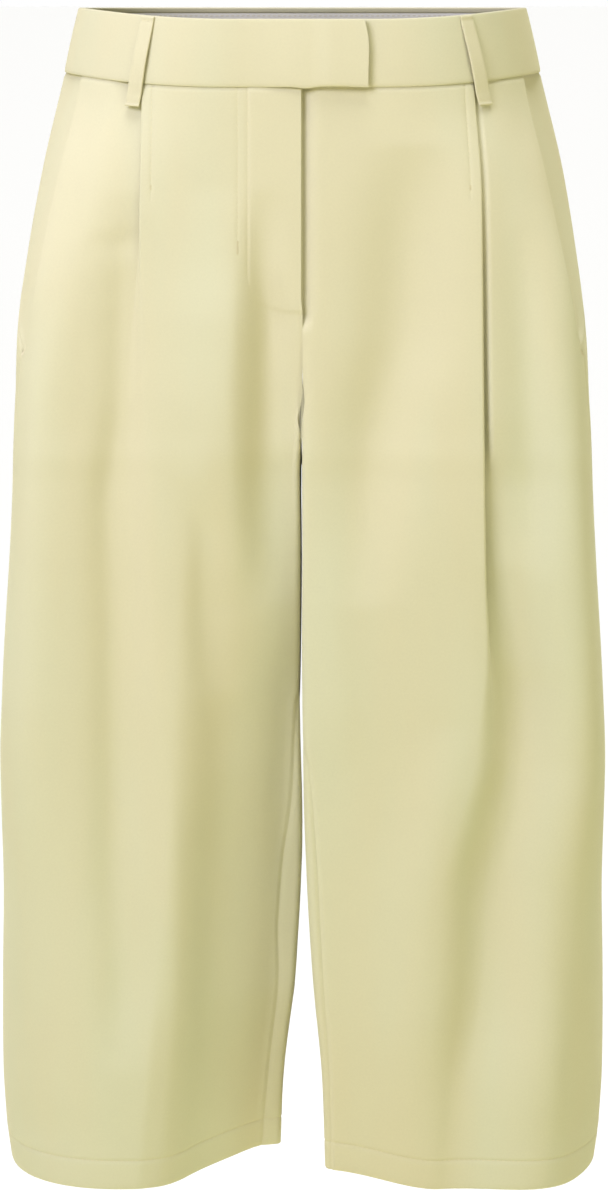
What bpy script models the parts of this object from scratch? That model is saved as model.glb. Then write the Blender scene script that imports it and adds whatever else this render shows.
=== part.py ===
"""Wide pleated culottes, hollow and filled out as when they are worn.

The frame: +Z up, the front faces -Y, +X is the wearer's left. The origin is the
middle of the waistband, where the wearer's waist carries the garment. Sizes are
in millimetres here and in metres in the meshes.

Each cut piece is a thin closed wall. A level section of one half of the body
runs from the centre front round the side to the centre back, or, below the
crotch, right round one leg. The pieces follow those sections from waist to hem.
"""

import math

import bmesh
import bpy
import numpy as np

MM = 0.001

# Cloth
WALL = 1.0                  # thickness of one layer
SEAM_GAP = 0.3              # between pieces that are sewn to each other
PLY_GAP = 0.35              # between layers that lie on each other

# Heights
WAIST_TOP = 18.0
WAIST_SEAM = -22.0
PLEAT_TACK = -90.0          # the pleats are stitched down to here
FLY_END = -166.0
SEAT_TOP = -140.0           # the centre back starts to curve under here
CROTCH = -264.0
HEM = -716.0
HEM_TURN = 20.0             # height of the turned hem

# Hems: they rise towards the inseams
HEM_RISE = 12.0
RISE_REACH = (12.0, 88.0)   # from this far to this far from the centre
RISE_FADES = -560.0

# Waist
FRONT_DIP = 7.5             # the waist is this much lower at the centre front
DIP_FADES = -110.0          # and level again below this height
BAND_PROUD = 0.5            # the band stands proud of the panels
BAND_LIP = 3.5              # height of the outer cloth rolled over inside the top
FACING_WALL = 1.0

# Crotch
CROTCH_Y = 12.0
CENTRE_X = 0.2              # half of the gap at the centre seams
FRONT_CURVE = 4.5           # powers of the crotch curves: the back's is more open
BACK_CURVE = 1.75

# Fly: the right front laps over the left one
FLY_REACH = -0.9            # the lap's edge, past the centre: just short of it
FLY_UNDER = 8.0             # the left front's edge, under the lap
FLY_DROP = 4.0              # the left front lies this much deeper there
FLY_WIDTH = 33.0            # facing, out to the curved stitching
FLY_CURVE = 24.0            # height over which the stitching curves to the centre
ZIP_TOP = -52.0
ZIP_X = -11.5               # middle of the zip's chain, 4 mm wide
TAPE_COLUMNS = (-24.0, -20.5, -17.0, ZIP_X - 2.0, ZIP_X + 2.0, -4.0, 2.0)
TAPE_WALL = 0.6
PULL_WALL = 0.5
PULL_ROOM = 1.15            # between the facing and the zip's chain

# Tab of the waistband, past the centre front
TAB_REACH = 40.0
TAB_WALL = 2.0
TAB_LIFT = 1.6              # the tab stands off by this much more for its hook

# Belt loops
LOOP_WIDTH = 9.5
LOOP_WALL = 1.4
LOOP_END = -36.0
LOOP_ARCH = 1.6             # stands off the band halfway

QUARTER_POINTS = 40
ROLL_POINTS = 10

# Level sections of one half: the outermost, foremost, rearmost and innermost
# points, and how full the corners beside them are.
BODY_COLUMNS = "z side_x side_y side_round front_y back_x back_y inner_x inner_y back_round"
BODY_ROWS = (
    (20, 139.5, 2, 2.1, -96.5, 34, 99, 0.2, 12, 1.0),
    (-22, 149.3, 2, 2.2, -102, 38, 105, 0.2, 12, 1.0),
    (-90, 164.8, 2, 3.4, -108, 46, 120, 0.2, 12, 1.0),
    (-150, 173.6, 2, 5.6, -112, 56, 129, 0.2, 12, 1.0),
    (-189, 176.6, 2, 7.6, -114.5, 64, 131, 0.2, 12, 1.05),
    (-214, 177.3, 2, 8.6, -116, 70, 131, 0.2, 12, 1.2),
    (-238, 178.6, 1, 9.0, -117, 76, 130, 0.2, 12, 1.55),
    (-256, 179.4, 0, 9.0, -118, 80, 129, 0.2, 12, 1.9),
    (-264, 179.7, 0, 9.0, -118, 82, 128.5, 0.2, 12, 2.3),
    (-286, 180.6, 0, 9.0, -118.5, 86, 128, 0.4, 8, 2.3),
    (-320, 182.6, 0, 8.6, -119, 90, 127, 0.5, 0, 2.3),
    (-400, 188.0, -2, 7.4, -119, 96, 124, 1.6, -12, 2.5),
    (-455, 190.7, -3, 5.6, -118, 99, 122, 4.0, -18, 2.7),
    (-520, 190.8, -4, 4.0, -117, 101, 120, 8.0, -20, 2.7),
    (-590, 192.3, -5, 3.1, -116, 102, 119, 12.5, -20, 2.6),
    (-655, 193.2, -6, 2.6, -113.5, 103, 118, 17.0, -20, 2.5),
    (-690, 191.8, -7, 2.4, -111.5, 103, 118, 19.0, -20, 2.4),
    (-716, 188.6, -8, 2.4, -110, 103, 117, 20.0, -20, 2.4),
)
BACK_SIDE_ROUND = 2.7       # fullness of the outer corners behind

# The front of each half: the X of its crest, the X of the inner edge, how far
# that edge lies behind the crest, and the radius with which it rolls back.
FRONT_COLUMNS = "z crest edge_x fall roll"
FRONT_ROWS = {
    "right": (
        (20, 42, 0.2, 0, 4.0),
        (-90, 47, 0.2, 0, 4.0),
        (-166, 51, 0.2, 0, 4.0),
        (-190, 53, 0.2, 0.3, 4.0),
        (-214, 56, 0.2, 1.2, 4.0),
        (-240, 60, 0.5, 4.5, 4.0),
        (-264, 66, 1.7, 10.0, 4.0),
        (-305, 72, 1.3, 17.0, 4.0),
        (-354, 77, 1.3, 25.0, 4.0),
        (-404, 80, 1.6, 37.0, 3.5),
        (-460, 82, 2.1, 47.0, 3.0),
        (-517, 86, 3.3, 54.0, 3.0),
        (-580, 92, 6.6, 57.0, 3.0),
        (-655, 100, 11.6, 61.0, 3.0),
        (-716, 106, 14.0, 62.0, 3.0),
    ),
    "left": (
        (20, 42, 0.2, 0, 4.0),
        (-90, 47, 0.2, 0, 4.0),
        (-166, 51, 0.2, 0, 4.0),
        (-214, 56, 0.2, 0.2, 4.0),
        (-240, 60, 0.0, 0.8, 4.0),
        (-264, 68, -0.1, 1.5, 4.0),
        (-320, 77, 0.0, 1.0, 4.0),
        (-360, 82, 0.0, 1.0, 4.5),
        (-404, 88, 0.2, 1.5, 5.0),
        (-460, 95, 0.6, 2.0, 6.0),
        (-517, 100, 2.5, 2.5, 6.5),
        (-580, 106, 6.1, 3.0, 7.0),
        (-655, 112, 12.0, 3.5, 7.0),
        (-716, 114, 14.0, 4.0, 7.0),
    ),
}
CREST_SOFT = 0.16           # share of that width over which the crest rounds

# Cut lines down the side: the X of the slanted pocket's mouth above its tack, and
# the Y of the side seam.
SIDE_COLUMNS = "z mouth_x seam_y"
SIDE_ROWS = (
    (20, 133, -2),
    (-22, 136.5, -4),
    (-55, 142, -9),
    (-97, 151, -17),
    (-133, 158, -29),
    (-157, 162.5, -52),
    (-176, 166.5, -78),
    (-189.5, 169.8, -95.5),
    (-220, 171, -94),
    (-257, 173, -88),
    (-300, 174, -72),
    (-360, 174, -44),
    (-480, 174, -6),
    (-600, 174, 3),
    (-716, 174, 3),
)
POCKET_TACK = -190.0
POCKET_UNDER = 16.0         # the side piece runs on under the front
POCKET_GAP = 0.6            # this far behind it
POCKET_RISE = 12.0          # and comes level with it within this distance

# The inseam: its share of the way from the crotch line to the leg's front edge, and
# how far it then lies beyond that edge, on the front.
INSEAM_COLUMNS = "z share beyond"
INSEAM_ROWS = {
    "right": ((-264, 0.0, 0.0), (-340, 0.35, 0.0), (-385, 0.8, 0.0), (-400, 0.97, 0.6),
              (-410, 1.0, 2.0), (-432, 1.0, 3.6), (-470, 1.0, 5.6), (-523, 1.0, 9.8),
              (-552, 1.0, 10.2), (-588, 1.0, 8.4), (-621, 1.0, 7.8), (-667, 1.0, 7.6),
              (-716, 1.0, 7.6)),
    "left": ((-264, 0.0, 0.0), (-350, 0.35, 0.0), (-410, 0.8, 0.0), (-432, 0.97, 0.6),
             (-446, 1.0, 3.0), (-476, 1.0, 5.8), (-523, 1.0, 7.0), (-581, 1.0, 6.6),
             (-647, 1.0, 4.8), (-716, 1.0, 3.6)),
}

# The knife pleat: its edge on each front, counted outwards from the centre.
PLEAT_COLUMNS = "z right left"
PLEAT_ROWS = (
    (-22, 98, 105),
    (-90, 99, 108.5),
    (-222, 100, 110.5),
    (-325, 98, 112.5),
    (-400, 94, 116.5),
    (-440, 90, 117),
    (-480, 86, 108),
    (-520, 83, 100),
    (-580, 82, 97.5),
    (-650, 86, 89),
    (-716, 92, 85),
)

# The pleat's own section, by height on each front: how far the cloth turns
# back, the underlay, the two bending radii and the width over which the side
# cloth comes back up.
FOLD_COLUMNS = "z angle underlay outer_bend inner_bend rise"
FOLD_LEFT = (
    (WAIST_SEAM, 180, 17.0, 1.25, 0.3, 24),
    (PLEAT_TACK, 180, 15.0, 1.35, 0.5, 30),
    (-140, 178, 12.0, 1.5, 0.9, 40),
    (-222, 174, 9.5, 1.6, 1.2, 50),
    (-300, 164, 7.0, 1.7, 1.4, 56),
    (-350, 142, 4.0, 2.0, 1.8, 60),
    (-380, 104, 2.0, 3.4, 3.0, 60),
    (-405, 72, 2.0, 7.0, 7.0, 60),
    (-435, 52, 2.0, 13.0, 13.0, 58),
    (-475, 43, 2.0, 18.0, 18.0, 56),
    (-530, 38, 2.0, 24.0, 24.0, 56),
    (-590, 32, 2.0, 28.0, 28.0, 56),
    (-650, 20, 2.0, 36.0, 36.0, 54),
    (-716, 12, 2.0, 40.0, 40.0, 50),
)
FOLD_RIGHT = (
    (WAIST_SEAM, 180, 17.0, 1.25, 0.3, 24),
    (PLEAT_TACK, 180, 15.0, 1.25, 0.3, 30),
    (-112, 150, 9.0, 1.5, 0.8, 33),
    (-135, 104, 4.0, 2.2, 2.0, 35),
    (-160, 66, 2.0, 4.5, 4.5, 38),
    (-195, 42, 2.0, 10.0, 10.0, 44),
    (-235, 30, 2.0, 18.0, 18.0, 54),
    (-290, 22, 2.0, 26.0, 26.0, 56),
    (-370, 16, 2.0, 34.0, 34.0, 56),
    (-450, 13, 2.0, 42.0, 42.0, 54),
    (-560, 10, 2.0, 50.0, 45.0, 54),
    (-716, 7, 2.0, 50.0, 45.0, 50),
)

# Soft folds, valleys (-) and ridges (+), each a path down the cloth: height, distance
# from the centre, half width towards the centre and away from it, depth.
DRAPE_COLUMNS = "z x inner outer depth"
DRAPES = {
    "front_right": (
        # a step from the fly's stitches down the inner thigh: its hollow, its crest
        ((-90, 24, 11, 9, 0), (-133, 24, 10, 9, -4.4), (-176, 22, 11, 10, -9.0),
         (-219, 22, 15, 11, -9.5), (-261, 21, 16, 12, -8.0), (-305, 19, 15, 13, -4.6),
         (-345, 16, 14, 13, 0)),
        ((-90, 44, 12, 30, 0), (-133, 45, 12, 32, 3.2), (-176, 45, 12, 34, 6.8),
         (-219, 47, 13, 34, 6.8), (-261, 46, 14, 30, 5.4), (-305, 44, 14, 24, 3.0),
         (-345, 42, 14, 20, 0)),
        # the centre below the fly
        ((-160, -1, 6, 14, 0), (-190, -1, 6, 14, -0.9), (-219, -1, 6, 14, -1.2),
         (-245, -1, 6, 14, 0)),
        # across the thigh towards the inseam
        ((-400, 48, 20, 16, 0), (-440, 48, 20, 16, -4.0), (-517, 50, 22, 17, -7.0),
         (-600, 54, 22, 17, -7.0), (-680, 58, 22, 17, -6.0), (-716, 60, 20, 16, -5.0)),
        ((-265, 70, 12, 10, 0), (-305, 60, 13, 11, -3.8), (-354, 58, 14, 12, -4.2),
         (-404, 52, 16, 13, -3.0), (-450, 44, 16, 14, 0)),
        # long one beside the side
        ((-105, 106, 16, 12, 0), (-160, 108, 16, 12, -3.2), (-220, 110, 17, 12, -5.2),
         (-285, 117, 18, 12, -6.4), (-365, 115, 18, 13, -6.6), (-450, 115, 18, 13, -6.8),
         (-517, 116, 18, 13, -6.6), (-580, 112, 18, 13, -5.4), (-640, 114, 16, 12, 0)),
        # side edge of the front
        ((-60, 150, 14, 8, 0), (-200, 160, 20, 9, 2.0), (-330, 166, 22, 9, 2.6),
         (-450, 172, 20, 10, 2.4), (-600, 174, 16, 10, 0.8), (-716, 172, 14, 10, 0)),
    ),
    "front_left": (
        # broad one from the pleat's tack down towards the crotch
        ((-60, 66, 24, 24, 0), (-97, 64, 24, 24, -5.0), (-133, 62, 24, 24, -8.0),
         (-176, 60, 24, 24, -9.5), (-219, 50, 23, 24, -9.5), (-261, 43, 22, 24, -8.0),
         (-305, 40, 20, 22, -4.6), (-345, 38, 18, 20, 0)),
        # crest before the pleat
        ((-40, 108, 26, 14, 0), (-97, 108, 26, 14, 3.0), (-176, 109, 26, 14, 3.4),
         (-261, 111, 24, 14, 2.6), (-330, 112, 22, 14, 0)),
        # the centre below the fly
        ((-160, -1, 6, 5, 0), (-190, -1, 6, 5, -1.2), (-219, -1, 6, 5, -2.2),
         (-245, -1, 6, 5, -1.2), (-262, -1, 6, 5, 0)),
        # front of the inner thigh, full
        ((-300, 14, 11, 11, 0), (-345, 18, 13, 13, 1.6), (-400, 22, 14, 14, 1.6),
         (-450, 26, 14, 14, 0)),
        # below the pleat: the crest before it and the hollow behind it
        ((-420, 92, 20, 16, 0), (-470, 86, 22, 16, 3.4), (-530, 76, 24, 17, 4.2),
         (-600, 72, 24, 17, 4.0), (-660, 68, 22, 16, 2.0), (-716, 66, 20, 16, 0.8)),
        ((-320, 124, 15, 18, 0), (-354, 127, 15, 20, -2.6), (-404, 130, 16, 20, -4.8),
         (-470, 127, 16, 20, -4.6), (-530, 116, 16, 22, -4.4),
         (-600, 112, 16, 22, -4.0), (-660, 106, 16, 22, -2.0), (-716, 104, 16, 22, -1)),
        # beside the pleat, towards the side
        ((-110, 132, 12, 10, 0), (-170, 136, 13, 11, -3.0), (-219, 139, 13, 12, -4.6),
         (-265, 142, 13, 12, -4.6), (-330, 145, 13, 12, 0)),
        ((-500, 165, 10, 10, 0), (-590, 170, 11, 11, -3.0), (-660, 172, 11, 11, -3.4),
         (-716, 172, 11, 11, -1)),
        ((-110, 158, 18, 9, 0), (-200, 166, 24, 9, 2.4), (-330, 172, 26, 9, 3.6),
         (-450, 178, 26, 9, 3.2), (-540, 178, 24, 9, 0)),
    ),
    "back_right": (
        ((-170, 44, 15, 15, 0), (-230, 50, 17, 17, -4.4), (-340, 57, 18, 18, -6.6),
         (-440, 56, 18, 18, -4), (-520, 52, 17, 17, 0)),
        ((-320, 121, 18, 18, 0), (-430, 116, 21, 21, -5.0), (-560, 112, 22, 22, -7.0),
         (-716, 118, 20, 20, -5)),
        ((-400, 73, 14, 14, 0), (-500, 77, 15, 15, 3.4), (-620, 80, 15, 15, 4.0),
         (-716, 84, 15, 15, 3.0)),
        ((-120, 104, 12, 12, 0), (-200, 112, 14, 14, -2.6), (-300, 124, 16, 16, -3.4),
         (-380, 134, 16, 16, 0)),
    ),
    "back_left": (
        ((-165, 42, 14, 14, 0), (-230, 46, 16, 16, -4.2), (-340, 56, 17, 17, -6.0),
         (-430, 60, 17, 17, -3.4), (-490, 62, 16, 16, 0)),
        ((-350, 117, 18, 18, 0), (-470, 122, 22, 22, -5.8), (-600, 118, 23, 23, -7.0),
         (-716, 112, 22, 22, -5)),
        ((-290, 88, 14, 14, 0), (-400, 86, 15, 15, 3.2), (-520, 80, 15, 15, 4.0),
         (-650, 76, 15, 15, 0)),
        ((-140, 118, 12, 12, 0), (-240, 128, 14, 14, -2.8), (-330, 136, 15, 15, -2.2),
         (-420, 140, 15, 15, 0)),
    ),
}

# Rows of the panels, from the waist seam to the hem. Pieces that meet at a
# seam share them.
PANEL_HEIGHTS = (-22.3, -42, -66, -90, -115, -140, -156, -166, -178, -189, -204, -221,
                 -237, -248, -256, -264, -276, -296, -325, -355, -385, -415, -450,
                 -500, -550, -600, -645, -680)

FLY_COLUMNS = (7.0, 12.0, 18.0, 25.5, FLY_WIDTH)
INNER_COLUMNS = 7           # of a front, from the fly's width to the pleat
BEND_COLUMNS = 5            # round each bend of the pleat
LAY_SHARES = np.array([[0.33], [0.67]])     # columns between its bends
UNDER_COLUMNS = 3           # under the pleat
SIDE_COLUMNS_COUNT = 8      # from the pleat to the side
BACK_OUTER_COLUMNS = 8      # of a back, from the side to the first of these
BACK_INNER = (68.0, 51.0, 37.0, 26.0, 17.0, 10.0, 5.5, 2.5)
BACK_EDGE_COLUMNS = 4       # round the leg's front edge to the inseam


def blend(value, low, high):
    """Smooth step from 0 at low to 1 at high."""
    share = np.clip((np.asarray(value, float) - low) / (high - low), 0.0, 1.0)
    return share * share * (3 - 2 * share)


def bell(distance, width):
    """Smooth bump of height 1 at distance 0."""
    return np.exp(-(np.asarray(distance, float) / width) ** 2)


class Profile:
    """Smooth function of height through a table's column, with no overshoot."""

    def __init__(self, heights, values):
        order = np.argsort(heights)
        self.heights = np.array(heights, float)[order]
        self.values = np.array(values, float)[order]
        rise = np.diff(self.values) / np.diff(self.heights)
        slope = np.zeros_like(self.values)
        slope[0] = rise[0]
        slope[-1] = rise[-1]
        for i in range(1, len(slope) - 1):
            if rise[i] * rise[i - 1] > 0:
                slope[i] = 2 * rise[i] * rise[i - 1] / (rise[i] + rise[i - 1])
        self.slope = slope

    def __call__(self, z):
        z = min(max(z, self.heights[0]), self.heights[-1])
        i = int(np.searchsorted(self.heights, z)) - 1
        i = min(max(i, 0), len(self.heights) - 2)
        span = self.heights[i + 1] - self.heights[i]
        t = (z - self.heights[i]) / span
        start = (2 * t ** 3 - 3 * t ** 2 + 1) * self.values[i]
        start += (t ** 3 - 2 * t ** 2 + t) * span * self.slope[i]
        end = (3 * t ** 2 - 2 * t ** 3) * self.values[i + 1]
        end += (t ** 3 - t ** 2) * span * self.slope[i + 1]
        return float(start + end)


def table(columns, rows):
    """One Profile of height for each named column after the first."""
    names = columns.split()
    heights = [row[0] for row in rows]
    return {name: Profile(heights, [row[i] for row in rows])
            for i, name in enumerate(names) if i > 0}


BODY = table(BODY_COLUMNS, BODY_ROWS)
SIDE = table(SIDE_COLUMNS, SIDE_ROWS)
FRONT = {side: table(FRONT_COLUMNS, rows) for side, rows in FRONT_ROWS.items()}
INSEAM = {side: table(INSEAM_COLUMNS, rows) for side, rows in INSEAM_ROWS.items()}
PLEAT = table(PLEAT_COLUMNS, PLEAT_ROWS)
FOLD = {"left": table(FOLD_COLUMNS, FOLD_LEFT),
        "right": table(FOLD_COLUMNS, FOLD_RIGHT)}
PATHS = {name: [(path[0][0], path[-1][0], table(DRAPE_COLUMNS, path)) for path in paths]
         for name, paths in DRAPES.items()}


def quarter(start, end, power):
    """Quarter superellipse that leaves start along Y and reaches end along X."""
    turn = np.linspace(0.0, math.pi / 2, QUARTER_POINTS)
    across = 1 - np.cos(turn).clip(0) ** (2 / power)
    along = np.sin(turn) ** (2 / power)
    return np.column_stack([start[0] + (end[0] - start[0]) * across,
                            start[1] + (end[1] - start[1]) * along])


def centre_line(z, top, outer_y, power):
    """Y of the centre front or back: straight, then curving to the crotch."""
    if z >= top:
        return outer_y
    if z <= CROTCH:
        return BODY["inner_y"](z)
    share = (top - z) / (top - CROTCH)
    reach = (1 - share ** power) ** (1 / power)
    return CROTCH_Y + (outer_y - CROTCH_Y) * reach


def front_run(start, body, front):
    """Front of one half from its centre line: wall, rolled edge, then to the crest."""
    corner = min(body["front_y"] + front["fall"], start[1])
    reach = front["roll"]
    turn = min(reach, start[1] - corner)
    x = np.linspace(front["edge_x"] + reach, front["crest"], QUARTER_POINTS)
    share = (front["crest"] - x) / (front["crest"] - front["edge_x"])
    ease = np.sqrt(share ** 2 + CREST_SOFT ** 2) - CREST_SOFT
    ease /= math.sqrt(1 + CREST_SOFT ** 2) - CREST_SOFT
    plane = np.column_stack([x, body["front_y"] + (corner - body["front_y"]) * ease])
    t = np.linspace(0.0, 1.0, ROLL_POINTS)[:-1, None]
    edge = np.array([front["edge_x"], corner + turn])
    bend = np.array([front["edge_x"] + (reach - turn) / 2, corner])
    rolled = (1 - t) ** 2 * edge + 2 * t * (1 - t) * bend + t ** 2 * plane[0]
    return np.vstack([[start], rolled, plane])


class Section:
    """Outer face of one half at one height, as if on +X, measured along its length.

    It runs from the centre front over the side to the centre back. Below the
    crotch it is a whole leg, and runs on past its start.
    """

    def __init__(self, z, half):
        body = {name: profile(z) for name, profile in BODY.items()}
        front = {name: profile(z) for name, profile in FRONT[half].items()}
        side = (body["side_x"], body["side_y"])
        crest = (front["crest"], body["front_y"])
        back = (body["back_x"], body["back_y"])
        inner_front = (body["inner_x"],
                       centre_line(z, FLY_END, body["front_y"], FRONT_CURVE))
        inner_back = (body["inner_x"],
                      centre_line(z, SEAT_TOP, body["back_y"], BACK_CURVE))
        parts = [front_run(inner_front, body, front),
                 quarter(side, crest, body["side_round"])[::-1],
                 quarter(side, back, BACK_SIDE_ROUND),
                 quarter(inner_back, back, body["back_round"])[::-1]]
        joined = [parts[0]] + [part[1:] for part in parts[1:]]
        self.z = z
        self.half = half
        self.edge_x = front["edge_x"]
        self.crest_end = len(parts[0]) - 1
        self.front_end = self.crest_end + QUARTER_POINTS - 1
        loop = np.vstack(joined)
        self.count = len(loop)
        if z <= CROTCH:
            loop = np.vstack([loop, parts[0][1:]])
        self.points = loop
        steps = np.hypot(*np.diff(loop, axis=0).T)
        self.along = np.concatenate([[0.0], np.cumsum(steps)])
        self.length = self.along[self.count - 1]
        self.roll_start = self.along[1]
        self.roll_end = self.along[ROLL_POINTS]

    def at(self, s):
        """Points at distances s from the centre front."""
        s = np.atleast_1d(np.asarray(s, float))
        if self.z <= CROTCH:
            s = np.where(s < 0.0, s + self.length, s)
        x = np.interp(s, self.along, self.points[:, 0])
        y = np.interp(s, self.along, self.points[:, 1])
        if self.z >= FLY_END:
            x = x + np.minimum(s, 0.0)
        return np.column_stack([x, y])

    def outward(self, s):
        """Unit normals that point away from the body."""
        s = np.atleast_1d(np.asarray(s, float))
        run = self.at(s + 0.8) - self.at(s - 0.8)
        run /= np.hypot(run[:, 0], run[:, 1])[:, None]
        return np.column_stack([run[:, 1], -run[:, 0]])

    def front_x(self, x):
        """Distance at which the front reaches this X, counted from the centre."""
        stretch = slice(1, self.front_end)
        return float(np.interp(x, self.points[stretch, 0], self.along[stretch]))

    def back_x(self, x):
        """Distance at which the back reaches this X, counted from the centre."""
        stretch = slice(self.front_end, self.count)
        return float(np.interp(-x, -self.points[stretch, 0], self.along[stretch]))

    def outer_y(self, y):
        """Distance at which the outer side reaches this Y."""
        stretch = slice(self.crest_end, self.front_end + QUARTER_POINTS - 1)
        return float(np.interp(y, self.points[stretch, 1], self.along[stretch]))

    def side_edge(self):
        """Distance of the front's side edge: the pocket's mouth, then the seam."""
        seam = self.outer_y(SIDE["seam_y"](self.z))
        if self.z <= POCKET_TACK:
            return seam
        return min(seam, self.front_x(SIDE["mouth_x"](self.z)))

    def inseam_x(self):
        """X of the front's first edge, counted from the centre."""
        beyond = INSEAM[self.half]["beyond"](self.z) if self.z <= CROTCH else 0.0
        return self.edge_x + beyond

    def inseam(self):
        """Distance of the inseam past the crotch line, on one leg."""
        if self.z > CROTCH:
            return 0.0
        return INSEAM[self.half]["share"](self.z) * self.front_x(self.inseam_x())

    def near_front(self, widths):
        """Distances at which the front is this much wider than its first edge."""
        base = self.inseam_x()
        return np.array([self.front_x(base + width) for width in widths])

    def near_back(self, widths):
        """Distances at which the back is this much wider than its inner edge."""
        base = self.points[0, 0]
        return np.array([self.back_x(base + width) for width in widths])


def drape(half, z, points, outward):
    """How far the soft folds move the points of one half at one height."""
    total = np.zeros(len(points))
    for face, turn in (("front", -1), ("back", 1)):
        facing = (turn * outward[:, 1]).clip(0.0)
        for top, bottom, path in PATHS[face + "_" + half]:
            if bottom <= z <= top:
                away = points[:, 0] - path["x"](z)
                width = np.where(away < 0, path["inner"](z), path["outer"](z))
                total += path["depth"](z) * facing * bell(away, width)
    return total


def waist_dip(y, z):
    """How far the waist line drops towards the centre front."""
    forward = np.clip(-y / 102.0, 0.0, 1.0) ** 2.5
    return FRONT_DIP * forward * blend(z, DIP_FADES, WAIST_SEAM)


def hem_rise(x, z):
    """How far the cloth rises towards the inseam, near the hem."""
    return HEM_RISE * (1 - blend(x, *RISE_REACH)) * (1 - blend(z, HEM, RISE_FADES))


def skin(half, section, s, out):
    """World points, in mm, at distance s and this far outside the outer face."""
    points = section.at(s)
    outward = section.outward(s)
    lift = drape(half, section.z, points, outward) + out
    placed = points + outward * lift[:, None]
    heights = section.z - waist_dip(points[:, 1], section.z)
    heights = heights + hem_rise(points[:, 0], section.z)
    x = -placed[:, 0] if half == "right" else placed[:, 0]
    return np.column_stack([x, placed[:, 1], heights])


def new_mesh_object(name, build, material):
    """Object from a function that fills a bmesh; its faces end up pointing out."""
    mesh = bpy.data.meshes.new(name)
    shape = bmesh.new()
    build(shape)
    if shape.calc_volume(signed=True) < 0:
        bmesh.ops.reverse_faces(shape, faces=shape.faces[:])
    shape.to_mesh(mesh)
    shape.free()
    mesh.shade_smooth()
    mesh.set_sharp_from_angle(angle=math.radians(50))
    mesh.materials.append(material)
    piece = bpy.data.objects.new(name, mesh)
    bpy.context.scene.collection.objects.link(piece)
    return piece


def wall_between(name, outer, inner, material):
    """Closed wall between two grids of points, each a list of rows."""
    outer = np.array(outer) * MM
    inner = np.array(inner) * MM
    rows, columns = outer.shape[:2]

    def build(shape):
        faces = {"outer": outer, "inner": inner}
        grid = {key: [[shape.verts.new(point) for point in row] for row in points]
                for key, points in faces.items()}
        for r in range(rows - 1):
            for c in range(columns - 1):
                for key, turn in (("outer", 1), ("inner", -1)):
                    g = grid[key]
                    corner = (g[r][c], g[r + 1][c], g[r + 1][c + 1], g[r][c + 1])
                    shape.faces.new(corner[:3][::turn])
                    shape.faces.new((corner[0], corner[2], corner[3])[::turn])
        rim = [(0, c) for c in range(columns)]
        rim += [(r, columns - 1) for r in range(1, rows)]
        rim += [(rows - 1, c) for c in range(columns - 2, -1, -1)]
        rim += [(r, 0) for r in range(rows - 2, 0, -1)]
        for (r0, c0), (r1, c1) in zip(rim, rim[1:] + rim[:1]):
            shape.faces.new((grid["outer"][r0][c0], grid["outer"][r1][c1],
                             grid["inner"][r1][c1], grid["inner"][r0][c0]))

    return new_mesh_object(name, build, material)


def tube_along(name, loops, material):
    """Closed solid through a list of loops with the same number of points."""
    loops = np.array(loops) * MM

    def build(shape):
        rings = [[shape.verts.new(point) for point in loop] for loop in loops]
        for ring, following in zip(rings, rings[1:]):
            for i, vert in enumerate(ring):
                j = (i + 1) % len(ring)
                shape.faces.new((vert, ring[j], following[j], following[i]))
        shape.faces.new(rings[0][::-1])
        shape.faces.new(rings[-1])

    return new_mesh_object(name, build, material)


def pleat_bends(fold):
    """The pleat's section as outer and inner points (along, out) and its end.

    The cloth runs outwards, turns back under itself, and turns out again.
    """
    angle = math.radians(fold["angle"])
    turns = np.linspace(0.0, angle, BEND_COLUMNS)
    start = -fold["outer_bend"] * math.sin(min(angle, math.pi / 2))
    first = np.array([start, -fold["outer_bend"]])
    spin = np.column_stack([np.sin(turns), np.cos(turns)])
    outer = [first + fold["outer_bend"] * spin]
    inner = [first + (fold["outer_bend"] - WALL) * spin]
    run = np.array([math.cos(angle), -math.sin(angle)])
    side = np.array([math.sin(angle), math.cos(angle)])
    under = outer[0][-1] + fold["underlay"] * LAY_SHARES * run
    outer.append(under)
    inner.append(under - WALL * side)
    second = outer[0][-1] + fold["underlay"] * run + fold["inner_bend"] * side
    outer.append(second - fold["inner_bend"] * spin[::-1])
    inner.append(second - (fold["inner_bend"] + WALL) * spin[::-1])
    return np.vstack(outer), np.vstack(inner)


def front_start(side, z):
    """Where a front begins at the centre: it laps or underlies along the fly."""
    reach = FLY_REACH if side == "right" else FLY_UNDER
    return -reach * float(blend(z, FLY_END, FLY_END + 10.0))


def fly_drop(side, z, s):
    """The left front lies deeper where the right one laps over it."""
    if side == "right":
        return np.zeros(len(s))
    strength = blend(z, FLY_END - 12.0, FLY_END)
    return -FLY_DROP * strength * (1 - blend(s, 0.0, 8.0))


def hem_layers(heights):
    """Rows down to the hem, with the wall's thickness; it doubles at the turn."""
    rows = [(z, WALL) for z in heights]
    turn = HEM + HEM_TURN
    rows += [(turn + 0.3, WALL), (turn, 2 * WALL + 0.2), (HEM, 2 * WALL + 0.2)]
    return rows


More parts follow.
